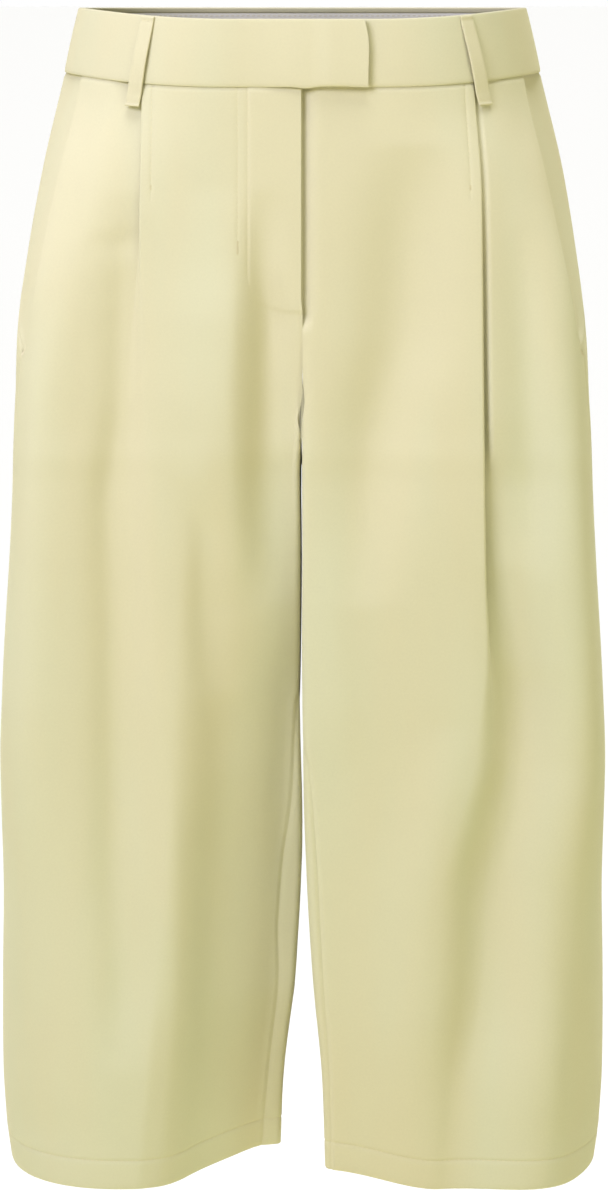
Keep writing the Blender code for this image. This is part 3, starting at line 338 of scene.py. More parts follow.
def blend(value, low, high):
    """Smooth step from 0 at low to 1 at high."""
    share = np.clip((np.asarray(value, float) - low) / (high - low), 0.0, 1.0)
    return share * share * (3 - 2 * share)


def bell(distance, width):
    """Bump of height 1 and this half width."""
    return np.exp(-(np.asarray(distance, float) / width) ** 2)


class Profile:
    """Smooth function of height through a table's column, with no overshoot."""

    def __init__(self, heights, values):
        order = np.argsort(heights)
        self.heights = np.array(heights, float)[order]
        self.values = np.array(values, float)[order]
        rise = np.diff(self.values) / np.diff(self.heights)
        slope = np.zeros_like(self.values)
        slope[0] = rise[0]
        slope[-1] = rise[-1]
        for i in range(1, len(slope) - 1):
            if rise[i] * rise[i - 1] > 0:
                slope[i] = 2 * rise[i] * rise[i - 1] / (rise[i] + rise[i - 1])
        self.slope = slope

    def __call__(self, z):
        z = min(max(z, self.heights[0]), self.heights[-1])
        i = int(np.searchsorted(self.heights, z)) - 1
        i = min(max(i, 0), len(self.heights) - 2)
        span = self.heights[i + 1] - self.heights[i]
        t = (z - self.heights[i]) / span
        start = (2 * t ** 3 - 3 * t ** 2 + 1) * self.values[i]
        start += (t ** 3 - 2 * t ** 2 + t) * span * self.slope[i]
        end = (3 * t ** 2 - 2 * t ** 3) * self.values[i + 1]
        end += (t ** 3 - t ** 2) * span * self.slope[i + 1]
        return float(start + end)


def table(columns, rows):
    """One Profile of height for each named column after the first."""
    heights = [row[0] for row in rows]
    return {name: Profile(heights, [row[i] for row in rows])
            for i, name in enumerate(columns.split()) if i > 0}


BODY = table(BODY_COLUMNS, BODY_ROWS)
SIDE = table(SIDE_COLUMNS, SIDE_ROWS)
FRONT = {side: table(FRONT_COLUMNS, rows) for side, rows in FRONT_ROWS.items()}
INSEAM = {side: table(INSEAM_COLUMNS, rows) for side, rows in INSEAM_ROWS.items()}
PLEAT = table(PLEAT_COLUMNS, PLEAT_ROWS)
FOLD = {"left": table(FOLD_COLUMNS, FOLD_LEFT),
        "right": table(FOLD_COLUMNS, FOLD_RIGHT)}
PATHS = {name: [(path[0][0], path[-1][0], table(DRAPE_COLUMNS, path)) for path in paths]
         for name, paths in DRAPES.items()}


def quarter(start, end, power):
    """Quarter superellipse that leaves start along Y and reaches end along X."""
    turn = np.linspace(0.0, math.pi / 2, QUARTER_POINTS)
    across = 1 - np.cos(turn).clip(0) ** (2 / power)
    along = np.sin(turn) ** (2 / power)
    return np.column_stack([start[0] + (end[0] - start[0]) * across,
                            start[1] + (end[1] - start[1]) * along])


def centre_line(z, top, outer_y, power):
    """Y of the centre front or back: straight, then curving to the crotch."""
    if z >= top:
        return outer_y
    if z <= CROTCH:
        return BODY["inner_y"](z)
    share = (top - z) / (top - CROTCH)
    reach = (1 - share ** power) ** (1 / power)
    return CROTCH_Y + (outer_y - CROTCH_Y) * reach


def front_run(start, body, front):
    """Front of one half from its centre line: wall, rolled edge, then to the crest."""
    corner = min(body["front_y"] + front["fall"], start[1])
    reach = front["roll"]
    turn = min(reach, start[1] - corner)
    x = np.linspace(front["edge_x"] + reach, front["crest"], QUARTER_POINTS)
    share = (front["crest"] - x) / (front["crest"] - front["edge_x"])
    ease = np.sqrt(share ** 2 + CREST_SOFT ** 2) - CREST_SOFT
    ease /= math.sqrt(1 + CREST_SOFT ** 2) - CREST_SOFT
    plane = np.column_stack([x, body["front_y"] + (corner - body["front_y"]) * ease])
    t = np.linspace(0.0, 1.0, ROLL_POINTS)[:-1, None]
    edge = np.array([front["edge_x"], corner + turn])
    bend = np.array([front["edge_x"] + (reach - turn) / 2, corner])
    rolled = (1 - t) ** 2 * edge + 2 * t * (1 - t) * bend + t ** 2 * plane[0]
    return np.vstack([[start], rolled, plane])


class Section:
    """Outer face of one half at one height, as if on +X, measured along its length."""

    def __init__(self, z, half):
        body = {name: profile(z) for name, profile in BODY.items()}
        front = {name: profile(z) for name, profile in FRONT[half].items()}
        side = (body["side_x"], body["side_y"])
        crest = (front["crest"], body["front_y"])
        back = (body["back_x"], body["back_y"])
        inner_front = (body["inner_x"],
                       centre_line(z, FLY_END, body["front_y"], FRONT_CURVE))
        inner_back = (body["inner_x"],
                      centre_line(z, SEAT_TOP, body["back_y"], BACK_CURVE))
        parts = [front_run(inner_front, body, front),
                 quarter(side, crest, body["side_round"])[::-1],
                 quarter(side, back, BACK_SIDE_ROUND),
                 quarter(inner_back, back, body["back_round"])[::-1]]
        joined = [parts[0]] + [part[1:] for part in parts[1:]]
        self.z = z
        self.half = half
        self.edge_x = front["edge_x"]
        self.crest_end = len(parts[0]) - 1
        self.front_end = self.crest_end + QUARTER_POINTS - 1
        loop = np.vstack(joined)
        self.count = len(loop)
        if z <= CROTCH:
            loop = np.vstack([loop, parts[0][1:]])
        self.points = loop
        steps = np.hypot(*np.diff(loop, axis=0).T)
        self.along = np.concatenate([[0.0], np.cumsum(steps)])
        self.length = self.along[self.count - 1]
        self.roll_start = self.along[1]
        self.roll_end = self.along[ROLL_POINTS]

    def at(self, s):
        """Points at distances s from the centre front."""
        s = np.atleast_1d(np.asarray(s, float))
        if self.z <= CROTCH:
            s = np.where(s < 0.0, s + self.length, s)
        x = np.interp(s, self.along, self.points[:, 0])
        y = np.interp(s, self.along, self.points[:, 1])
        if self.z >= FLY_END:
            x = x + np.minimum(s, 0.0)
        return np.column_stack([x, y])

    def outward(self, s):
        """Unit normals that point away from the body."""
        s = np.atleast_1d(np.asarray(s, float))
        run = self.at(s + 0.8) - self.at(s - 0.8)
        run /= np.hypot(run[:, 0], run[:, 1])[:, None]
        return np.column_stack([run[:, 1], -run[:, 0]])

    def front_x(self, x):
        """Distance at which the front reaches this X, counted from the centre."""
        stretch = slice(1, self.front_end)
        return float(np.interp(x, self.points[stretch, 0], self.along[stretch]))

    def back_x(self, x):
        """Distance at which the back reaches this X, counted from the centre."""
        stretch = slice(self.front_end, self.count)
        return float(np.interp(-x, -self.points[stretch, 0], self.along[stretch]))

    def outer_y(self, y):
        """Distance at which the outer side reaches this Y."""
        stretch = slice(self.crest_end, self.front_end + QUARTER_POINTS - 1)
        return float(np.interp(y, self.points[stretch, 1], self.along[stretch]))

    def side_edge(self):
        """Distance of the front's side edge: the pocket's mouth, then the seam."""
        seam = self.outer_y(SIDE["seam_y"](self.z))
        if self.z <= POCKET_TACK:
            return seam
        return min(seam, self.front_x(SIDE["mouth_x"](self.z)))

    def inseam_x(self):
        """X of the front's first edge, counted from the centre."""
        beyond = INSEAM[self.half]["beyond"](self.z) if self.z <= CROTCH else 0.0
        return self.edge_x + beyond

    def inseam(self):
        """Distance of the inseam past the crotch line, on one leg."""
        if self.z > CROTCH:
            return 0.0
        return INSEAM[self.half]["share"](self.z) * self.front_x(self.inseam_x())

    def near_front(self, widths):
        """Distances at which the front is this much wider than its first edge."""
        base = self.inseam_x()
        return np.array([self.front_x(base + width) for width in widths])

    def near_back(self, widths):
        """Distances at which the back is this much wider than its inner edge."""
        base = self.points[0, 0]
        return np.array([self.back_x(base + width) for width in widths])


@functools.lru_cache(maxsize=None)
def section_at(z, half="left"):
    """The section of one half at one height, worked out once."""
    return Section(z, half)


def drape(half, z, points, outward):
    """How far the soft folds move the points of one half at one height."""
    total = np.zeros(len(points))
    for face, turn in (("front", -1), ("back", 1)):
        facing = (turn * outward[:, 1]).clip(0.0)
        for top, bottom, path in PATHS[face + "_" + half]:
            if bottom <= z <= top:
                away = points[:, 0] - path["x"](z)
                width = np.where(away < 0, path["inner"](z), path["outer"](z))
                total += path["depth"](z) * facing * bell(away, width)
    return total


def waist_dip(y, z):
    """How far the waist line drops towards the centre front."""
    forward = np.clip(-y / FRONT_DEPTH, 0.0, 1.0) ** 2.5
    return FRONT_DIP * forward * blend(z, DIP_FADES, WAIST_SEAM)


def hem_rise(x, z):
    """How far the cloth rises towards the inseam, near the hem."""
    return HEM_RISE * (1 - blend(x, *RISE_REACH)) * (1 - blend(z, HEM, RISE_FADES))


# Unevenness of the cloth: waves along X, Y and Z (radians per mm), phase, height.
RIPPLE_ROWS = (
    (0.045, 0.020, 0.010, 0.3, 0.22),
    (-0.031, 0.048, 0.017, 1.9, 0.20),
    (0.083, -0.036, 0.021, 4.1, 0.13),
    (-0.064, 0.071, -0.034, 2.6, 0.10),
    (0.120, 0.090, 0.050, 5.2, 0.05),
)
RIPPLE_TOP = (-110.0, -30.0)        # it fades between these heights
RIPPLE_FADE = 0.85                  # by this share


def ripple(half, z, points):
    """Small soft unevenness, the same for all that lies on one place."""
    x = points[:, 0] * (-1 if half == "right" else 1)
    total = np.zeros(len(points))
    for along_x, along_y, along_z, phase, height in RIPPLE_ROWS:
        wave = along_x * x + along_y * points[:, 1] + along_z * z + phase
        total += height * np.sin(wave)
    return total * (1 - RIPPLE_FADE * blend(z, *RIPPLE_TOP))


def skin(half, section, s, out):
    """World points, in mm, at distance s and this far outside the outer face."""
    points = section.at(s)
    outward = section.outward(s)
    lift = drape(half, section.z, points, outward) + out
    lift += ripple(half, section.z, points)
    placed = points + outward * lift[:, None]
    heights = section.z - waist_dip(points[:, 1], section.z)
    heights = heights + hem_rise(points[:, 0], section.z)
    x = -placed[:, 0] if half == "right" else placed[:, 0]
    return np.column_stack([x, placed[:, 1], heights])


# ------------------------------------------------------------------ materials
CREAM = (0.598, 0.560, 0.380)
LEAF = (0.580, 0.573, 0.402)          # the cooler, greener shade of the same cloth
GREY_FACING = (0.80, 0.78, 0.70)
THREAD = (0.66, 0.60, 0.40)
METAL = (0.62, 0.60, 0.55)
CREPE_THREADS = 1900.0                # in each metre
CLOUD_STRETCH = (14.0, 14.0, 3.0)     # the clouds of shade are longer than wide
CLOUD_EDGES = (0.35, 0.65)
UPPER_HEIGHTS = (-0.30, -0.12)        # metres: above these, more of the warm shade
UPPER_WARMTH = 0.09


def new_group(name, inputs, outputs):
    """Shader group with these sockets: (name, kind) or (name, kind, value)."""
    group = bpy.data.node_groups.new(name, "ShaderNodeTree")
    for kind_of, sockets in (("INPUT", inputs), ("OUTPUT", outputs)):
        for socket in sockets:
            made = group.interface.new_socket(socket[0], in_out=kind_of,
                                              socket_type="NodeSocket" + socket[1])
            if len(socket) > 2:
                made.default_value = socket[2]
    return group, group.nodes.new("NodeGroupInput"), group.nodes.new("NodeGroupOutput")


def add_node(tree, kind, values=None, **settings):
    """Shader node with these settings; values set or feed its sockets."""
    node = tree.nodes.new("ShaderNode" + kind)
    for name, setting in settings.items():
        setattr(node, name, setting)
    for name, value in (values or {}).items():
        if isinstance(value, bpy.types.NodeSocket):
            tree.links.new(value, node.inputs[name])
        else:
            node.inputs[name].default_value = value
    return node


def maths(tree, operation, *values):
    """Math node fed by numbers or sockets; gives its output."""
    return add_node(tree, "Math", dict(enumerate(values)), operation=operation).outputs[0]


def weighted(tree, *terms):
    """Sum of sockets, given with their weights."""
    parts = [maths(tree, "MULTIPLY", value, weight) for value, weight in terms]
    return functools.reduce(functools.partial(maths, tree, "ADD"), parts)


def noise(tree, vector, scale, detail):
    """Noise node on a vector; gives its value."""
    values = {"Scale": scale, "Detail": detail, "Vector": vector}
    return add_node(tree, "TexNoise", values).outputs["Fac"]


def split_axes(tree, vector):
    """The vector's X, Y and Z."""
    return add_node(tree, "SeparateXYZ", {0: vector}).outputs


def remap(tree, value, lowest, highest, to_low=0.0, to_high=1.0):
    """Moves a value from one range to another."""
    values = {"Value": value, "From Min": lowest, "From Max": highest,
              "To Min": to_low, "To Max": to_high}
    return add_node(tree, "MapRange", values).outputs[0]


def mix_colours(tree, share, first, second):
    """Colour between two colours, given as sockets or as four numbers."""
    values = {"Factor": share, "A": first, "B": second}
    return add_node(tree, "Mix", values, data_type="RGBA").outputs["Result"]


def weave_group():
    """Plain weave of a crepe: crossing threads, uneven in thickness and twist."""
    group, given, put = new_group(
        "crepe_weave",
        (("Cloth", "Vector"), ("Threads", "Float", CREPE_THREADS)),
        (("Height", "Float"), ("Shade", "Float")))
    scaled = add_node(group, "VectorMath", {0: given.outputs["Cloth"],
                                            "Scale": given.outputs["Threads"]},
                      operation="SCALE").outputs[0]
    across, along = [maths(group, "SINE", maths(group, "MULTIPLY", axis, math.tau))
                     for axis in split_axes(group, scaled)[:2]]
    crossing = maths(group, "MULTIPLY", across, along)
    twist = noise(group, scaled, 0.37, 3.0)
    slub = noise(group, scaled, 0.11, 2.0)
    group.links.new(weighted(group, (crossing, 0.30), (twist, 0.9), (slub, 0.5)),
                    put.inputs["Height"])
    group.links.new(weighted(group, (crossing, 0.12), (twist, 1.0)), put.inputs["Shade"])
    return group


def tone_group():
    """Slow change between two shades of one cloth, in long upright clouds."""
    group, given, put = new_group(
        "cloth_tone",
        (("Place", "Vector"), ("Warm", "Color", (*CREAM, 1)), ("Cool", "Color", (*LEAF, 1)),
         ("Grain", "Float", 0.5)),
        (("Color", "Color"),))
    place = given.outputs["Place"]
    stretch = add_node(group, "Mapping", {"Vector": place, "Scale": CLOUD_STRETCH})
    clouds = noise(group, stretch.outputs[0], 1.0, 3.0)
    upper = remap(group, split_axes(group, place)["Z"], *UPPER_HEIGHTS, 0.0, UPPER_WARMTH)
    share = remap(group, maths(group, "SUBTRACT", clouds, upper), *CLOUD_EDGES)
    mixed = mix_colours(group, share, given.outputs["Warm"], given.outputs["Cool"])
    value = maths(group, "ADD", maths(group, "MULTIPLY", given.outputs["Grain"], 0.07),
                  0.965)
    grain = add_node(group, "HueSaturation", {"Value": value, "Color": mixed})
    group.links.new(grain.outputs[0], put.inputs["Color"])
    return group


WEAVE = weave_group()
TONE = tone_group()


def new_material(name, values):
    """Material with these values on its shader; gives it with its tree and shader."""
    material = bpy.data.materials.new(name)
    material.use_nodes = True
    shader = material.node_tree.nodes["Principled BSDF"]
    for socket, value in values.items():
        shader.inputs[socket].default_value = value
    return material, material.node_tree, shader


def object_place(tree):
    """Object coordinates."""
    return add_node(tree, "TexCoord").outputs["Object"]


def cloth_material(name, warm, cool, threads=CREPE_THREADS, bump=0.22):
    """Fine matt crepe in two close shades."""
    material, tree, shader = new_material(name, {
        "Roughness": 0.82, "Specular IOR Level": 0.22, "Sheen Weight": 0.25,
        "Sheen Roughness": 0.45, "Sheen Tint": (1.0, 0.96, 0.82, 1.0)})
    cut = add_node(tree, "UVMap", uv_map="cloth")
    weave = add_node(tree, "Group", node_tree=WEAVE)
    weave.inputs["Threads"].default_value = threads
    tree.links.new(cut.outputs[0], weave.inputs["Cloth"])
    tone = add_node(tree, "Group", node_tree=TONE)
    tone.inputs["Warm"].default_value = (*warm, 1)
    tone.inputs["Cool"].default_value = (*cool, 1)
    tree.links.new(object_place(tree), tone.inputs["Place"])
    tree.links.new(weave.outputs["Shade"], tone.inputs["Grain"])
    tree.links.new(tone.outputs["Color"], shader.inputs["Base Color"])
    relief = add_node(tree, "Bump", {"Strength": bump, "Distance": 0.0003,
                                     "Height": weave.outputs["Height"]})
    tree.links.new(relief.outputs[0], shader.inputs["Normal"])
    return material


def thread_material(name, colour):
    """Twisted sewing thread with a slight gloss."""
    material, tree, shader = new_material(name, {"Roughness": 0.55})
    twist = noise(tree, object_place(tree), 900.0, 1.0)
    shaded = mix_colours(tree, twist, (*[c * 0.88 for c in colour], 1), (*colour, 1))
    tree.links.new(shaded, shader.inputs["Base Color"])
    return material


def metal_material(name, colour):
    """Satin metal with fine brushing."""
    material, tree, shader = new_material(name, {"Base Color": (*colour, 1),
                                                 "Metallic": 1.0})
    brushed = noise(tree, object_place(tree), 1200.0, 2.0)
    tree.links.new(maths(tree, "ADD", maths(tree, "MULTIPLY", brushed, 0.2), 0.25),
                   shader.inputs["Roughness"])
    return material


CLOTH = {side: cloth_material("crepe_" + side, CREAM, LEAF) for side in SIDES}
BAND_CLOTH = cloth_material("crepe_waistband", CREAM, LEAF)
LOOP_CLOTH = cloth_material("crepe_loops", CREAM, CREAM)
FLY_CLOTH = cloth_material("crepe_fly", CREAM, LEAF)
FACING_CLOTH = cloth_material("facing_cloth", GREY_FACING,
                              tuple(c * 0.94 for c in GREY_FACING), 1500.0, 0.3)
TAPE = cloth_material("zip_tape", (0.76, 0.70, 0.46), (0.72, 0.67, 0.45), 1100.0, 0.5)
SEWING = thread_material("sewing_thread", THREAD)
SATIN_METAL = metal_material("satin_metal", METAL)


# --------------------------------------------------------------------- meshes
def finish_mesh(name, vertices, faces, material, nodes=(), uv=None, edge=0.0):
    """Piece from vertices in mm and faces; edge rounds its sharp edges, in mm."""
    mesh = bpy.data.meshes.new(name)
    mesh.from_pydata((np.asarray(vertices) * MM).tolist(), [], faces)
    if uv is not None:
        layer = mesh.uv_layers.new(name="cloth")
        corners = np.empty(len(mesh.loops), int)
        mesh.loops.foreach_get("vertex_index", corners)
        layer.data.foreach_set("uv", (np.asarray(uv) * MM)[corners].ravel())
    shape = bmesh.new()
    shape.from_mesh(mesh)
    if shape.calc_volume(signed=True) < 0:
        bmesh.ops.reverse_faces(shape, faces=shape.faces[:])
    shape.to_mesh(mesh)
    shape.free()
    piece = bpy.data.objects.new(name, mesh)
    bpy.context.scene.collection.objects.link(piece)
    mesh.materials.append(material)
    if edge:
        bevel = piece.modifiers.new("rounded_edges", "BEVEL")
        bevel.width = edge * MM
        bevel.segments = 2
        bevel.limit_method = "ANGLE"
        bevel.angle_limit = math.radians(55)
        bevel.use_clamp_overlap = True
        bpy.ops.object.select_all(action="DESELECT")
        bpy.context.view_layer.objects.active = piece
        piece.select_set(True)
        bpy.ops.object.modifier_apply(modifier=bevel.name)
    mesh.shade_smooth()
    mesh.set_sharp_from_angle(angle=math.radians(65))
    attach(piece, "root")
    if nodes:
        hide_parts(*nodes)
    return piece


def along_line(points):
    """Distance of each point along the line through them."""
    steps = np.linalg.norm(np.diff(points, axis=0), axis=1)
    return np.concatenate([[0.0], np.cumsum(steps)])


def cut_lines(grid, zero):
    """Cloth coordinates of a grid, in mm: across from column zero, and down."""
    across = np.linalg.norm(np.diff(grid, axis=1), axis=2)
    across = np.concatenate([np.zeros((len(grid), 1)), np.cumsum(across, axis=1)], axis=1)
    across -= across[:, [zero]]
    down = np.linalg.norm(np.diff(grid, axis=0), axis=2).mean(axis=1)
    down = -np.concatenate([[0.0], np.cumsum(down)])
    return np.stack([across, np.broadcast_to(down[:, None], across.shape)], axis=2)


def grid_faces(rows, columns, offset=0, turn=False):
    """Quads of a grid of vertices."""
    r, c = np.meshgrid(np.arange(rows - 1), np.arange(columns - 1), indexing="ij")
    first = (r * columns + c + offset).ravel()
    faces = np.column_stack([first, first + columns, first + columns + 1, first + 1])
    return (faces[:, ::-1] if turn else faces).tolist()


def wall(name, outer, inner, material, nodes, zero=0, edge=0.3):
    """Closed cloth wall between two grids of points, declared by its own cut."""
    outer, inner = np.array(outer), np.array(inner)
    rows, columns = outer.shape[:2]
    count = rows * columns
    faces = grid_faces(rows, columns) + grid_faces(rows, columns, count, True)
    rim = [(0, c) for c in range(columns)]
    rim += [(r, columns - 1) for r in range(1, rows)]
    rim += [(rows - 1, c) for c in range(columns - 2, -1, -1)]
    rim += [(r, 0) for r in range(rows - 2, 0, -1)]
    rim = [r * columns + c for r, c in rim]
    for here, there in zip(rim, rim[1:] + rim[:1]):
        faces.append((here, there, there + count, here + count))
    cloth = cut_lines(outer, zero).reshape(-1, 2)
    vertices = np.concatenate([outer.reshape(-1, 3), inner.reshape(-1, 3)])
    piece = finish_mesh(name, vertices, faces, material, nodes,
                        np.concatenate([cloth, cloth]), edge)
    declare_sheet(piece, outer)


def grid_area(grid):
    """Area of a grid of points, in square mm."""
    a = grid[1:, 1:] - grid[:-1, :-1]
    b = grid[1:, :-1] - grid[:-1, 1:]
    return float(np.linalg.norm(np.cross(a, b), axis=2).sum() / 2)


CUTS = {}


def declare_sheet(piece, grid):
    """States the flat cut of a cloth piece from the grid of its outer face."""
    width = np.linalg.norm(np.diff(grid, axis=1), axis=2).sum(axis=1).max()
    length = np.linalg.norm(np.diff(grid, axis=0), axis=2).sum(axis=0).max()
    area = grid_area(grid)
    area = max(area, 0.31 * width * length)
    CUTS[piece.name] = (round(width), round(length), round(area / 1e6, 4))


# --------------------------------------------------------------------- panels
SEAM_ROLL = 0.8             # the cloth dips this deep into a seam
SEAM_SOFT = 1.7             # within this distance
STITCH_DIP = 0.35           # and this deep along a row of stitches
STITCH_SOFT = 0.9
PLEAT_STITCH = 5.75         # the pleat's row of stitches, before its bend begins
NO_PLEAT = 1e6              # a pleat too far off to touch a line on the front
HEM_STITCH = HEM + 18.8     # height of the hem's row of stitches
LAP_PUFF = 0.45             # the fly's double cloth stands out by this much
EDGE_SHARES = np.array([0.0, 0.12, 0.25, 0.42, 0.65, 1.0])
EDGE_REACH = 4.0

FRONT_WIDTHS = np.array([9.2, 11.6, 14.2, 17, 20, 23, 26, 28.6, 30.6, 31.8, 32.5, 33,
                         33.5, 34.2, 35.4, 37, 38.3, 39.0, 39.5, 40.0, 40.7, 42.5])
WALL_COLUMNS = 12           # between the centre edge and the rolled inner edge
ROLL_COLUMNS = 12           # round the rolled inner edge
START_CLEAR = 4.5           # at least this far from the centre edge to the roll
ROLL_LEAD = 2.0             # its columns begin this far before it
ROLL_TAIL = 0.8             # and end this far past it
ROLL_LEAST = 2.5
INNER_COLUMNS = 17          # from the last width to the pleat's stitches
STITCH_COLUMNS = np.array([-1.4, -0.7, -0.3, 0.0, 0.3, 0.7, 1.4])
BEND_COLUMNS = 11
UNDER_COLUMNS = 8
# Share of the pleat's depth that ends close to its edge.
PLEAT_GROOVE = {"right": 0.0, "left": 0.72}
GROOVE_WIDTH = 5.0
OUTER_COLUMNS = 36          # from the pleat to the side
OUTER_SPREAD = 1.15         # they lie closer together beside the pleat
BACK_OUTER_COLUMNS = 44
BACK_WIDTHS = np.array([68, 64, 60, 56, 52, 48, 44, 40.5, 37, 33.5, 30, 26.5, 23.5, 20.5,
                        17.5, 15, 12.5, 10.2, 8.2, 6.4, 4.8, 3.4, 2.4])
BACK_WALL_COLUMNS = 16
FRONT_GRAIN = 16            # the weave is laid out from this column of the widths
BACK_GRAIN = 60             # and from this column of a back
POCKET_COLUMNS = 26


def spaced(*stretches):
    """Heights from stretches of (top, bottom, step), each without its bottom."""
    heights = []
    for top, bottom, step in stretches:
        count = max(1, round((top - bottom) / step))
        heights.extend(np.linspace(top, bottom, count + 1)[:-1])
    return heights


def panel_rows():
    """(height, wall thickness, inset of both faces) for each row of a panel."""
    turn = HEM + HEM_TURN
    heights = [-22.15, -22.5, -23.0, -23.7, -24.7]
    heights += spaced((-26, -138, 3.4), (-138, -172, 1.5), (-172, -246, 3.0),
                      (-246, -284, 2.0), (-284, -440, 3.6), (-440, -690, 4.4),
                      (-690, turn + 0.3, 1.6))
    rows = [(z, WALL, 0.0) for z in heights]
    rows += [(turn + 0.3, WALL, 0.0), (turn, 2 * WALL + 0.2, 0.0)]
    below = [turn - 0.5] + spaced((turn - 0.8, HEM_STITCH - 1.2, 0.4),
                                  (HEM_STITCH - 1.2, HEM + 2, 2.6))
    rows += [(z, 2 * WALL + 0.2, 0.0) for z in below]
    rows += [(HEM + rise, 2 * WALL + 0.2, inset)
             for rise, inset in ((1.4, 0.0), (0.8, 0.12), (0.35, 0.38), (0.0, 0.85))]
    return rows


PANEL_ROWS = panel_rows()
HEM_ROW = int(np.argmin([abs(z - HEM_STITCH) for z, _, _ in PANEL_ROWS]))


def pleat_bends(fold):
    """The pleat's section as outer and inner points (along, out)."""
    angle = math.radians(fold["angle"])
    turns = np.linspace(0.0, angle, BEND_COLUMNS)
    start = -fold["outer_bend"] * math.sin(min(angle, math.pi / 2))
    first = np.array([start, -fold["outer_bend"]])
    spin = np.column_stack([np.sin(turns), np.cos(turns)])
    outer = [first + fold["outer_bend"] * spin]
    inner = [first + (fold["outer_bend"] - WALL) * spin]
    run = np.array([math.cos(angle), -math.sin(angle)])
    side = np.array([math.sin(angle), math.cos(angle)])
    second = outer[0][-1] + fold["underlay"] * run + fold["inner_bend"] * side
    outer.append(second - fold["inner_bend"] * spin[::-1])
    inner.append(second - (fold["inner_bend"] + WALL) * spin[::-1])
    return np.vstack(outer), np.vstack(inner)


def front_start(side, z):
    """Where a front begins at the centre: it laps or underlies along the fly."""
    reach = FLY_REACH if side == "right" else FLY_UNDER
    return -reach * float(blend(z, FLY_END, FLY_END + 10.0))


def fly_drop(side, z, s):
    """The left front lies deeper where the right one laps over it."""
    if side == "right":
        return np.zeros(len(s))
    strength = blend(z, FLY_END - 12.0, FLY_END)
    return -FLY_DROP * strength * (1 - blend(s, 0.0, 8.0))


def fly_foot(x):
    """Height of the fly's curved stitching at this distance from the centre."""
    share = min(max(x, 0.0) / FLY_WIDTH, 1.0)
    return FLY_END + FLY_CURVE * (1 - math.sqrt(1 - share ** 3))


def fly_curve_distance(x, z):
    """Distance from the curved row of stitches, + inside it."""
    foot = np.array([fly_foot(value) for value in x])
    beside = FLY_WIDTH - x
    above = z - foot
    return np.where(z > FLY_END + FLY_CURVE, beside, np.minimum(beside, above))


def waist_roll(z):
    """How far the cloth dips into the waist seam."""
    return -SEAM_ROLL * bell(WAIST_SEAM - 0.15 - z, SEAM_SOFT)


def front_relief(side, section, s, begin):
    """Sewn relief of a front: seams, the fly's double cloth, rows of stitches."""
    z = section.z
    x = section.at(s)[:, 0]
    out = np.full(len(s), float(waist_roll(z)))
    if side == "right" and z > FLY_END - 6:
        inside = fly_curve_distance(x, z)
        out += LAP_PUFF * blend(inside, -0.6, 0.8)
        out -= STITCH_DIP * bell(inside, STITCH_SOFT)
        tacked = blend(z, -133.0, -128.0)
        out -= 0.7 * STITCH_DIP * tacked * bell(x - FLY_SECOND_ROW, STITCH_SOFT)
    if z > PLEAT_TACK - 4:
        out -= STITCH_DIP * bell(s - (begin - PLEAT_STITCH), STITCH_SOFT)
    return out


def edge_columns(edge, towards):
    """Columns from an edge, close together beside it."""
    step = min(abs(towards - edge) * 0.6, EDGE_REACH)
    return edge + math.copysign(step, towards - edge) * EDGE_SHARES


WIDTHS_FROM = len(EDGE_SHARES) + WALL_COLUMNS - 1 + ROLL_COLUMNS


